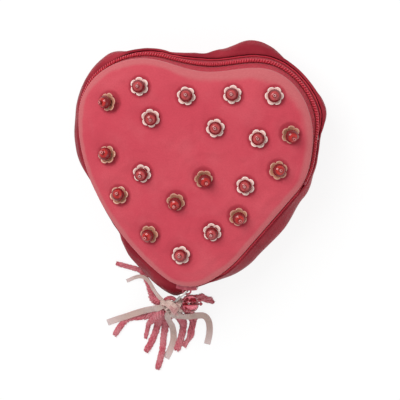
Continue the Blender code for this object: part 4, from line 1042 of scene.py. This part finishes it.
def makeWall():
    stations = evenStations(0, heart["stations"], 0.0012)
    rows = wall["rows"]
    profile = {"rows": rows, "high": wall["high"], "at": wallPoint}
    piece = addBand("satin_wall", stations, profile, finishes["satin"], "satin")
    verts = np.array([v.co for v in piece.data.vertices])
    level = np.arange(len(verts)) % rows / (rows - 1)
    column = np.arange(len(verts)) // rows
    around = lengthAt(stations[:-1])[column]
    normals = np.array([v.normal for v in piece.data.vertices])
    # Soft gathers from the seams, uneven round the bag
    rng = np.random.default_rng(7)
    girth = edgeLengths[-1]
    gather = np.zeros(len(verts))
    for _ in range(wall["gathers"]):
        middle, wide = rng.uniform(0, girth), rng.uniform(*wall["gatherWide"])
        slant = rng.uniform(-wall["gatherSlant"], wall["gatherSlant"])
        depth = rng.uniform(*wall["gatherDeep"]) * wall["gatherScale"]
        away = (around - middle - slant * (level - 0.5) * 0.02 + girth / 2) % girth - girth / 2
        fade = level if rng.random() < 0.6 else 1 - level
        gather += depth * np.exp(-(away / wide) ** 2) * fade ** 1.5
    for sharp in (8, 6):
        gather *= np.clip(level * sharp, 0, 1) * np.clip((1 - level) * sharp, 0, 1)
    # The hinge's side is pulled smooth
    calm = 1 - wall["calm"] * fromShares(smoothSide, stations[:-1])[column]
    gather *= calm
    verts = verts + normals * (gather - 0.0002 * (gather > 0))[:, None]
    piece.data.vertices.foreach_set("co", verts.astype(np.float32).ravel())
    piece.data.update()
    if useCloth:
        held = ((level < 0.04) | (level > 0.96)).astype(float)
        start, normals, outward = settleCloth(piece, held, wallCloth, wallCloth["swell"])
        moves = outward.reshape(-1, rows)
        for _ in range(wallCloth["evened"]):
            moves = (np.roll(moves, 1, 0) + moves * 2 + np.roll(moves, -1, 0)) / 4
        verts = start + normals * moves.reshape(-1, 1) * calm[:, None]
        piece.data.vertices.foreach_set("co", verts.astype(np.float32).ravel())
        piece.data.update()
    thicken(piece, wall["thick"] - 0.0002, "bag", "gusset")


makeWall()


def wallInner(stations, z):
    # Distance out of the wall's inner face at a height
    top = wallTop(stations)
    share = np.clip((z - levels["wallLow"]) / (top - levels["wallLow"]), 0, 1)
    return wallPoint(stations, share)[0] - wall["thick"]


lining = {"low": 0.0040, "high": 0.0305, "room": 0.0009, "tapeRoom": 0.0002, "turnFrom": 0.0225,
          "turnHigh": 0.006, "ease": 0.00035, "folds": 420, "thick": 0.0003}


def liningAt(stations, share):
    # Hangs inside the wall, and turns in behind the tape near its top
    z = lining["low"] + (lining["high"] - lining["low"]) * share
    inner = wallInner(stations, z) - lining["room"]
    tape = bandOut(stations, z) - band["thick"] / 2 - wall["gap"] - lining["tapeRoom"]
    turn = np.clip((z - lining["turnFrom"]) / lining["turnHigh"], 0, 1)
    turn = turn * turn * (3 - 2 * turn)
    ease = lining["ease"] * np.sin(lengthAt(stations) * lining["folds"]) * np.sin(math.pi * share)
    return inner * (1 - turn) + np.minimum(inner, tape) * turn - np.abs(ease), z


liningCloth = addBand("wall_lining_cloth", evenStations(0, heart["stations"], 0.0016),
                      {"rows": 14, "high": 0.0265, "at": liningAt}, finishes["lining"], "lining")
thicken(liningCloth, lining["thick"], "bag", "gusset_lining")
print("Wall and linings made")


# The zip

zipper = {"pitch": 0.00125, "wire": 0.00027, "inner": 0.0003, "outer": 0.00215, "rowHigh": 0.002,
          "openHalf": 0.00074, "meshedHalf": 0.00108, "stitch": 0.0021, "stitchRadius": 0.00016,
          "hem": 0.00045}


def makeTape(name, node, body, first, last, low, high):
    def tapeAt(stations, share):
        z = low + (high - low) * share
        return bandOut(stations, z), np.full(len(stations), z)
    piece = addBand(name, evenStations(first, last, 0.0012), {"rows": 6, "high": high - low, "at": tapeAt},
                    finishes["tape"], "zip_tape")
    thicken(piece, band["thick"], body, node, offset=0)


makeTape("bag_tape_cloth", "bag_zip_tape", "bag", 10.0, 56.0, 0.0290, 0.0344)
makeTape("lid_tape_cloth", "lid_zip_tape", "lid", 10.2, 54.8, 0.0350, 0.0393)


def makeCoil(name, node, body, side, first, last):
    # One continuous wire wound flat, whose loops reach between the other row's loops where the zip is closed
    start, end = lengthAt(first), lengthAt(last)
    perTurn = 12
    t = np.arange(0, (end - start) / zipper["pitch"], 1 / perTurn)
    lengths = start + t * zipper["pitch"] + (zipper["pitch"] / 2 if side > 0 else 0)
    stations = stationAt(np.minimum(lengths, end))
    meshed = fromShares(zipMeshed, stations)
    half = zipper["openHalf"] + (zipper["meshedHalf"] - zipper["openHalf"]) * meshed
    middle = levels["chain"] + side * (zipper["rowHigh"] - half)
    angle = 2 * math.pi * t
    lean = bandOut(stations, levels["chain"])
    outMiddle = lean + (zipper["inner"] + zipper["outer"]) / 2
    reach = (zipper["outer"] - zipper["inner"]) / 2 - zipper["wire"]
    centre = atEdge(stations, outMiddle, middle)
    route = atEdge(stations, outMiddle + reach * np.sin(angle),
                   middle - side * (half - zipper["wire"]) * np.cos(angle))
    radial = route - centre
    radial /= np.linalg.norm(radial, axis=1)[:, None]
    along = np.gradient(route, axis=0)
    along /= np.linalg.norm(along, axis=1)[:, None]
    radial -= (radial * along).sum(1)[:, None] * along
    radial /= np.linalg.norm(radial, axis=1)[:, None]
    other = np.cross(along, radial)
    around = np.linspace(0, 2 * math.pi, 6, endpoint=False)
    rings = (route[:, None] + zipper["wire"] * (radial[:, None] * np.cos(around)[None, :, None]
                                                + other[:, None] * np.sin(around)[None, :, None]))
    addSkin(name, rings, finishes["coil"], body, "zip_coil", node, closedColumns=True, caps=True)


makeCoil("bag_coil_wire", "bag_zip_coil", "bag", -1, 11.35, 50.0)
makeCoil("lid_coil_wire", "lid_zip_coil", "lid", 1, 11.35, 48.2)


def stitchRow(name, body, first, last, level):
    # Short stitches lying on the cloth, made as one mesh
    pitch, radius = zipper["stitch"], zipper["stitchRadius"]
    verts, faces = np.zeros((0, 3)), []
    for length in np.arange(lengthAt(first), lengthAt(last) - pitch, pitch):
        stations = stationAt(np.linspace(length + pitch * 0.1, length + pitch * 0.8, 5))
        lift = band["thick"] / 2 + radius * np.array((-0.9, 0.3, 0.7, 0.3, -0.9))
        route = atEdge(stations, bandOut(stations, level) + lift, level)
        rings = tube(route, radius * np.array((0.5, 0.95, 1.0, 0.95, 0.5)), 6)
        verts, faces = joined(verts, faces, rings, caps=True)
    addPiece(name, verts, faces, finishes["stitch"], body, "zip_tape")


stitchRow("bag_tape_stitches", "bag", 11.0, 56.0, 0.0318)
stitchRow("lid_tape_stitches", "lid", 11.0, 54.3, 0.0376)


def wallHem():
    # The wall's folded top edge, sewn against the tape and, at the hinge, under the velvet
    stations = evenStations(0, heart["stations"], 0.001)[:-1]
    high = wallTop(stations)
    hinged = fromShares(hingeRise, stations)
    radius = zipper["hem"] * (1 + 0.35 * hinged + 0.06 * np.sin(lengthAt(stations) * 900))
    out = (bandOut(stations, high) + band["thick"] / 2 + 0.00003) * (1 - hinged) + radius
    route = atEdge(stations, out, high + 0.0002 + 0.0007 * hinged)
    addSkin("wall_hem", tube(route, radius, 10), finishes["hem"], "bag", "satin", closedRows=True,
            closedColumns=True, step=(0.001, 0.0003))


wallHem()


def hingeAt(stations, share):
    z = 0.0372 + (0.0393 - 0.0372) * share
    return bandOut(stations, z), np.full(len(stations), z)


hinge = addBand("hinge_cloth", evenStations(4.92, 10.08, 0.0012), {"rows": 9, "high": 0.0021, "at": hingeAt},
                finishes["tape"], "zip_tape")
thicken(hinge, band["thick"], None, "hinge_strip", offset=0)
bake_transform(hinge)


def bindingRing(name, node, body, inset, width, low, high):
    # A folded strip of satin over the panel's raw edge
    stations = evenStations(0, heart["stations"], 0.002)[:-1]
    middle, half = (low + high) / 2, (high - low) / 2
    rings = []
    for t in np.linspace(0, 2 * math.pi, 14, endpoint=False):
        c, s = math.cos(t), math.sin(t)
        squareX = math.copysign(abs(c) ** 0.5, c)
        squareZ = math.copysign(abs(s) ** 0.6, s)
        rings.append(atEdge(stations, -inset - width / 2 + squareX * width / 2, middle + squareZ * half))
    grid = np.array(rings).transpose(1, 0, 2)
    fixNormals(addSkin(name, grid, finishes["satin"], body, "satin", node, closedRows=True,
                       closedColumns=True, step=(0.002, 0.0004)))


bindingRing("lid_binding_cloth", "lid_binding", "lid", 0.0026, 0.0024, 0.0380, 0.0386)
bindingRing("base_binding_cloth", "base_binding", "bag", 0.0018, 0.0024, 0.0031, 0.0037)
print("Zip and hinge made")


# Metal pieces keep their solid's shape, with softened edges

metal = {"weld": 0.000005, "flatTo": math.radians(1.5), "bevelFrom": math.radians(32),
         "sharpFrom": math.radians(50)}


def softened(node, name, finish, body, width):
    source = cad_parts[node]
    mesh = source.data.copy()
    mesh.materials.clear()
    mesh.materials.append(finish.material)
    piece = bpy.data.objects.new(name, mesh)
    bpy.context.scene.collection.objects.link(piece)
    weld = piece.modifiers.new("weld", "WELD")
    weld.merge_threshold = metal["weld"]
    flatten = piece.modifiers.new("flat", "DECIMATE")
    flatten.decimate_type, flatten.angle_limit = "DISSOLVE", metal["flatTo"]
    bevel = piece.modifiers.new("bevel", "BEVEL")
    bevel.width, bevel.segments, bevel.limit_method = width, 2, "ANGLE"
    bevel.angle_limit = metal["bevelFrom"]
    bevel.use_clamp_overlap = True
    applyAll(piece)
    piece.data.shade_smooth()
    piece.data.set_sharp_from_angle(angle=metal["sharpFrom"])
    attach(piece, body)
    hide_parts(node)


softened("slider_body", "slider", finishes["paint"], "slider", 0.0003)
softened("pull_tab", "tab", finishes["nickel"], "pull", 0.00022)
softened("zip_bottom_stop", "bottom_stop", finishes["paint"], "bag", 0.0002)
softened("zip_top_stop", "top_stop", finishes["paint"], "bag", 0.0002)


def ringOf(centre, first, second, radius, wire, steps=48, sides=12, flat=1.0):
    # A ring of wire in the plane of two unit vectors
    first, second = np.array(first), np.array(second)
    across = np.cross(first, second)
    rings = []
    for t in np.linspace(0, 2 * math.pi, steps, endpoint=False):
        out, middle = first * math.cos(t) + second * math.sin(t), np.array(centre)
        rings.append([middle + out * (radius + wire * math.cos(a)) + across * wire * flat * math.sin(a)
                      for a in np.linspace(0, 2 * math.pi, sides, endpoint=False)])
    return np.array(rings)


pull = {"direction": math.radians(226.7), "pin": (0.0, -0.061931, 0.0347), "reach": 0.009, "ring": 0.0022,
        "wire": 0.00042}
ahead = np.array((math.cos(pull["direction"]), math.sin(pull["direction"]), 0.0))
beside = np.array((-ahead[1], ahead[0], 0.0))
ringCentre = np.array(pull["pin"]) + ahead * (pull["reach"] + pull["ring"])
addSkin("ring", ringOf(ringCentre, ahead, beside, pull["ring"], pull["wire"]), finishes["nickel"], "pull",
        "nickel", "pull_ring", closedRows=True, closedColumns=True)
print("Metal made")


# The tassel's knot, its loop and the glass bead

def turned(centre, axis, profile, sides):
    # Rings about an axis: profile is a run of (radius, distance along)
    axis = Vector(axis).normalized()
    side = axis.orthogonal().normalized()
    other = axis.cross(side)
    rings = []
    for radius, along in profile:
        middle = Vector(centre) + axis * along
        rings.append([tuple(middle + (side * math.cos(t) + other * math.sin(t)) * radius)
                      for t in np.linspace(0, 2 * math.pi, sides, endpoint=False)])
    return np.array(rings)


knot = {"radius": 0.0032, "height": 0.0072, "loop": 0.0016, "wire": 0.0005,
        "profile": ((0.10, 0.0), (0.45, 0.02), (0.74, 0.10), (0.93, 0.22), (0.90, 0.36), (0.80, 0.46),
                    (0.86, 0.55), (0.97, 0.70), (0.90, 0.86), (0.60, 0.97), (0.15, 1.0)),
        "slack": 0.0007, "wraps": 9, "wrapTilt": 0.34, "wrapWire": 0.00042, "wrapFlat": 1.9,
        "collar": 0.0037, "collarTurns": 2.2, "collarPly": 0.00095,
        "strapThick": 0.00028, "strapFold": 0.00017,
        "straps": ((0.0030, ((-0.0137, -0.0692, 0.0350), (-0.0108, -0.0694, 0.0364),
                             (-0.0072, -0.0716, 0.0369), (-0.0050, -0.0757, 0.0340),
                             (-0.0046, -0.0785, 0.0290))),
                   (0.0034, ((-0.0027, -0.0676, 0.0300), (-0.0033, -0.0684, 0.0350),
                             (-0.0048, -0.0714, 0.0373), (-0.0066, -0.0752, 0.0350),
                             (-0.0070, -0.0785, 0.0290))),
                   (0.0022, ((-0.0100, -0.0683, 0.0366), (-0.0080, -0.0684, 0.0371),
                             (-0.0046, -0.0704, 0.0380), (-0.0022, -0.0732, 0.0340),
                             (-0.0020, -0.0745, 0.0300))))}


def makeKnot():
    hang = knot["loop"] - knot["wire"] - knot["slack"]
    loopCentre = np.array(tassel["knot"]) - np.array((0, 0, hang))
    loop = ringOf(loopCentre, ahead, (0, 0, 1), knot["loop"], knot["wire"], sides=10)
    verts, faces = joined(np.zeros((0, 3)), [], loop, True)
    top = loopCentre - np.array((0, 0, knot["loop"] - knot["wire"] / 2))
    profile = [(knot["radius"] * 0.9 * wide, -knot["height"] * down) for wide, down in knot["profile"]]
    verts, faces = joined(verts, faces, turned(top, (0, 0, 1), profile, 32), caps=True)
    # Turns of ribbon wound round the head, each a little askew
    rng = np.random.default_rng(5)
    for k in range(knot["wraps"]):
        down = 0.14 + 0.09 * k
        radius = knot["radius"] * (0.80 + 0.16 * math.sin(math.pi * min(1, down * 1.2)))
        centre = top - np.array((0, 0, knot["height"] * down))
        tilt = Vector((rng.normal(0, knot["wrapTilt"]), rng.normal(0, knot["wrapTilt"]), 1)).normalized()
        first = tilt.orthogonal().normalized()
        turn = ringOf(centre, first, tilt.cross(first), radius, knot["wrapWire"], 40, 8, knot["wrapFlat"])
        verts, faces = joined(verts, faces, turn, True)
    # Ribbon straps laid over the pull's ring, which tie the tassel to it
    for number, (wide, points) in enumerate(knot["straps"]):
        verts, faces = joined(verts, faces, strap(points, wide, number * 2.1), caps=True)
    addPiece("knot_wraps", verts, faces, organzaKnotFinish, "tassel", "sheer_ribbon", "tassel_knot")
    # Yarn wound round the knot's head, under the ribbons
    turns = np.linspace(0, knot["collarTurns"] * 2 * math.pi, 110)
    radius = knot["collar"] + 0.00025 * np.sin(turns * 0.7)
    path = np.stack((tassel["knot"].x + radius * np.cos(turns + 0.8),
                     tassel["knot"].y + radius * np.sin(turns + 0.8),
                     np.linspace(0.0262, 0.0290, len(turns))), 1)
    collar = addPly(np.zeros((0, 3)), [], path, knot["collarPly"], 77)
    addPiece("knot_yarn", *collar, chenilleFinish, "tassel", "chenille_yarn")


def strap(points, wide, phase):
    # A creased ribbon over the ring, as rings round its flat section
    route, _ = smoothRoute(points, 0.0004)
    _, across, above = frameOf(route)
    side = np.linspace(-1, 1, 13)
    rings = []
    for k, point in enumerate(route):
        fold = knot["strapFold"] * np.cos(side * 7.0 + phase + k * 0.1)
        half = wide / 2 * (0.88 + 0.12 * math.cos(k * 0.21 + phase))
        low = [point + across[k] * s * half + above[k] * (f - knot["strapThick"] / 2)
               for s, f in zip(side, fold)]
        rings.append(low + [p + above[k] * knot["strapThick"] for p in reversed(low)])
    return np.array(rings)


def knotFinish():
    finish = Finish("folded organza", rough=0.5, sheen=0.35, specular=0.4)
    crease = finish.noise(420.0, 4.0)
    fold = finish.noise(130.0, 2.0)
    colour = finish.mixColour(finish.range(crease, 0.35, 0.65), rgb(0.42, 0.26, 0.225), rgb(0.66, 0.48, 0.42))
    stain = finish.range(fold, 0.50, 0.66) * 0.6
    finish.put("colour", finish.mixColour(stain, colour, rgb(0.60, 0.22, 0.24)))
    finish.bump(crease, 0.6, 0.0002)
    return finish


organzaKnotFinish = knotFinish()
makeKnot()

bead = {"radius": 0.0044, "bore": 0.0007, "reach": 0.0112, "drop": 0.0062, "direction": math.radians(8.2),
        "thread": 0.0004, "threadFrom": 0.0032}


def glassFinish():
    finish = Finish("clear glass", rough=0.03, clear=1.0, ior=1.5, specular=0.6)
    smear = finish.noise(300.0, 2.0)
    finish.put("colour", finish.mixColour(smear, rgb(0.68, 0.13, 0.18), rgb(0.80, 0.22, 0.27)))
    finish.put("rough", 0.015 + smear * 0.03)
    return finish


def makeBead():
    axis = np.array((math.cos(bead["direction"]), math.sin(bead["direction"]), 0.0))
    centre = np.array(tassel["knot"]) + axis * bead["reach"] - np.array((0, 0, bead["drop"]))
    start = math.asin(bead["bore"] / bead["radius"])
    profile = [(bead["radius"] * math.sin(t), -bead["radius"] * math.cos(t))
               for t in np.linspace(start, math.pi - start, 32)]
    half = profile[-1][1]
    profile += [(bead["bore"], half * (1 - 2 * k / 6)) for k in range(1, 6)]
    glass = turned(centre, axis, profile, 48)
    fixNormals(addSkin("bead_glass", glass, glassFinish(), "tassel", "clear_glass", "glass_bead",
                       closedRows=True, closedColumns=True))
    r, end = bead["thread"], bead["radius"]
    start = bead["threadFrom"] - bead["reach"]
    thread = [(r * 0.4, start - 0.0004), (r, start)]
    thread += [(r * (1 + 0.12 * math.sin(k * 1.9)), start + k * 0.0004) for k in range(1, 30)]
    thread += [(r, end + 0.0003), (2.1 * r, end + 0.0006), (2.6 * r, end + 0.0011), (2.0 * r, end + 0.0016),
               (r * 0.9, end + 0.0019), (r * 0.3, end + 0.0021)]
    thread = sorted(set(thread), key=lambda row: row[1])
    addSkin("bead_tie", turned(centre, axis, thread, 12), finishes["stitch"], "tassel", "sheer_ribbon",
            "bead_thread", closedColumns=True, caps=True)


makeBead()
print("Knot and bead made")


# Sequin flowers: a six-petalled cup, a ruby bead and a seed bead on one thread

flower = {"radius": 0.0048, "waist": 0.76, "dish": 0.0010, "dishFrom": 0.42, "curl": 0.00022,
          "crease": 0.00026, "thick": 0.0003, "base": 0.0004,
          "ruby": 0.0034, "squash": 0.86, "rubyBore": 0.00045,
          "seed": 0.0011, "seedSquash": 0.8, "seedBore": 0.0003}


def pearlFinish(name, petal, inner, rim, floor):
    # Painted shade where the cup's floor lies in the bead's shade, pale on the petals, and a painted
    # highlight palest at their rims
    finish = Finish(name, rough=0.28, coat=0.5, coatRough=0.12, specular=0.5)
    out = finish.share("out")
    cloud = finish.noise(420.0, 3.0)
    colour = finish.mixColour(finish.range(out, floor, floor + 0.06), inner, petal)
    colour = finish.mixColour(finish.range(out, 0.86, 0.98), colour, rim)
    finish.put("colour", finish.mixColour(finish.range(cloud, 0.42, 0.7) * 0.3, colour, petal))
    finish.put("rough", 0.2 + cloud * 0.2)
    finish.bump(cloud, 0.25, 0.00008)
    return finish


def rubyFinish(name, deep, bright):
    finish = Finish(name, rough=0.08, coat=0.35, coatRough=0.03, specular=0.35, ior=1.52)
    depth = finish.noise(380.0, 2.0)
    top = finish.share("top")
    colour = finish.mixColour(finish.range(depth, 0.35, 0.7), deep, bright)
    # Painted shade: near black below the bead's lit top
    finish.put("colour", finish.mixColour(finish.range(top, 0.80, 0.93), rgb(0.20, 0.006, 0.010), colour))
    finish.put("rough", 0.05 + depth * 0.08)
    return finish


# The second of each pair, for the pale flowers, is a lit copy: a painted highlight on the sequin, painted
# reflections on the ruby and seed beads
pearls = (pearlFinish("tan pearl sequin", rgb(0.60, 0.27, 0.17), rgb(0.22, 0.02, 0.016),
                      rgb(0.74, 0.38, 0.28), 0.5),
          pearlFinish("pearl sequin with painted highlight", rgb(1.0, 0.66, 0.59), rgb(0.24, 0.014, 0.02),
                      rgb(1.0, 0.80, 0.74), 0.69))
rubies = (rubyFinish("ruby glass", rgb(0.46, 0.014, 0.014), rgb(0.62, 0.032, 0.028)),
          rubyFinish("ruby glass in light", rgb(0.46, 0.045, 0.05), rgb(0.60, 0.085, 0.09)))
seeds = (rubyFinish("seed glass", rgb(0.60, 0.12, 0.12), rgb(0.78, 0.26, 0.25)),
         rubyFinish("seed glass in light", rgb(0.56, 0.19, 0.19), rgb(0.66, 0.28, 0.28)))


def cupRings():
    rings, outs = [], []
    steps = 72
    turns = np.linspace(0, 2 * math.pi, steps, endpoint=False)
    lobe = np.abs(np.cos(3 * turns)) ** 0.55
    full = flower["radius"] * (flower["waist"] + (1 - flower["waist"]) * lobe)
    for share in (0.10, 0.22, 0.34, 0.46, 0.56, 0.66, 0.76, 0.86, 0.94, 1.0):
        radius = full * share
        rise = flower["dish"] * np.clip((share - flower["dishFrom"]) / (1 - flower["dishFrom"]), 0, 1) ** 1.25
        curl = -flower["curl"] * np.clip((share - 0.9) / 0.1, 0, 1)
        crease = -flower["crease"] * (1 - lobe) * np.clip((share - 0.45) / 0.4, 0, 1)
        rings.append(np.stack((radius * np.cos(turns), radius * np.sin(turns),
                               np.full(steps, rise + curl) + crease), 1))
        outs.append(np.full(steps, share))
    return np.array(rings), np.concatenate(outs)


def beadRings(radius, middle, bore, squash, sides):
    turns = np.linspace(0, 2 * math.pi, sides, endpoint=False)
    start = math.asin(bore / radius)
    rings = []
    for t in np.linspace(start, math.pi - start, 18):
        r, z = radius * math.sin(t), -radius * math.cos(t) * squash
        rings.append(np.stack((r * np.cos(turns), r * np.sin(turns), np.full(sides, middle + z)), 1))
    low, high = rings[0][0][2], rings[-1][0][2]
    for share in (0.2, 0.5, 0.8):
        z = high + (low - high) * share
        rings.append(np.stack((bore * np.cos(turns), bore * np.sin(turns), np.full(sides, z)), 1))
    return np.array(rings)


def makeFlower(number, x, y, toward, lean, bright):
    node = "flower_%02d" % number
    way = math.radians(toward)
    tilt = np.array(Matrix.Rotation(math.radians(lean), 3, Vector((-math.sin(way), math.cos(way), 0))))
    spin = np.array(Matrix.Rotation(math.radians(number * 37 % 60), 3, "Z"))
    cup, outs = cupRings()
    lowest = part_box(node)[0].z

    def placed(rings, turn=None):
        flat = rings.reshape(-1, 3)
        if turn is not None:
            flat = flat @ turn.T
        return (flat @ tilt.T + np.array((x, y, base))).reshape(rings.shape)

    base = 0.0
    base = lowest - placed(cup, spin)[..., 2].min()
    piece = addSkin("cup_%02d" % number, placed(cup, spin), pearls[bright], None, "pearl_sequin",
                    closedColumns=True)
    setShare(piece, "out", outs)
    fixUp(piece)
    thicken(piece, flower["thick"], "lid", node, offset=1)
    rubyMiddle = flower["base"] + flower["ruby"] * 0.9
    seedMiddle = rubyMiddle + flower["ruby"] * flower["squash"] + flower["seed"] * 0.72
    ruby = beadRings(flower["ruby"], rubyMiddle, flower["rubyBore"], flower["squash"], 32)
    seed = beadRings(flower["seed"], seedMiddle, flower["seedBore"], flower["seedSquash"], 24)
    addBead("ruby_%02d" % number, placed, ruby, rubies[bright])
    addBead("seed_%02d" % number, placed, seed, seeds[bright])


def addBead(name, placed, rings, finish):
    # A drilled bead; its height is stored for the painted shade that leaves only its upper part lit, as the
    # light comes through it from above
    heights = rings[..., 2].ravel()
    piece = addSkin(name, placed(rings), finish, "lid", "pearl_sequin", closedRows=True, closedColumns=True)
    setShare(piece, "top", (heights - heights.min()) / (heights.max() - heights.min()))
    fixNormals(piece)


def fixUp(piece):
    # Turns the sheet's faces up
    mesh = piece.data
    if sum(face.normal.z for face in mesh.polygons) < 0:
        mesh.flip_normals()


for number, ((x, y), (_, _, toward, lean, bright)) in enumerate(zip(flowerXY, flowerPlaces), 1):
    makeFlower(number, x, y, toward, lean, bright)
print("Flowers made")


# Board inside the lid and the back keep their solids
for node in ("lid_board", "back_board"):
    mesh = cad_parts[node].data
    mesh.materials.clear()
    mesh.materials.append(finishes["card"].material)
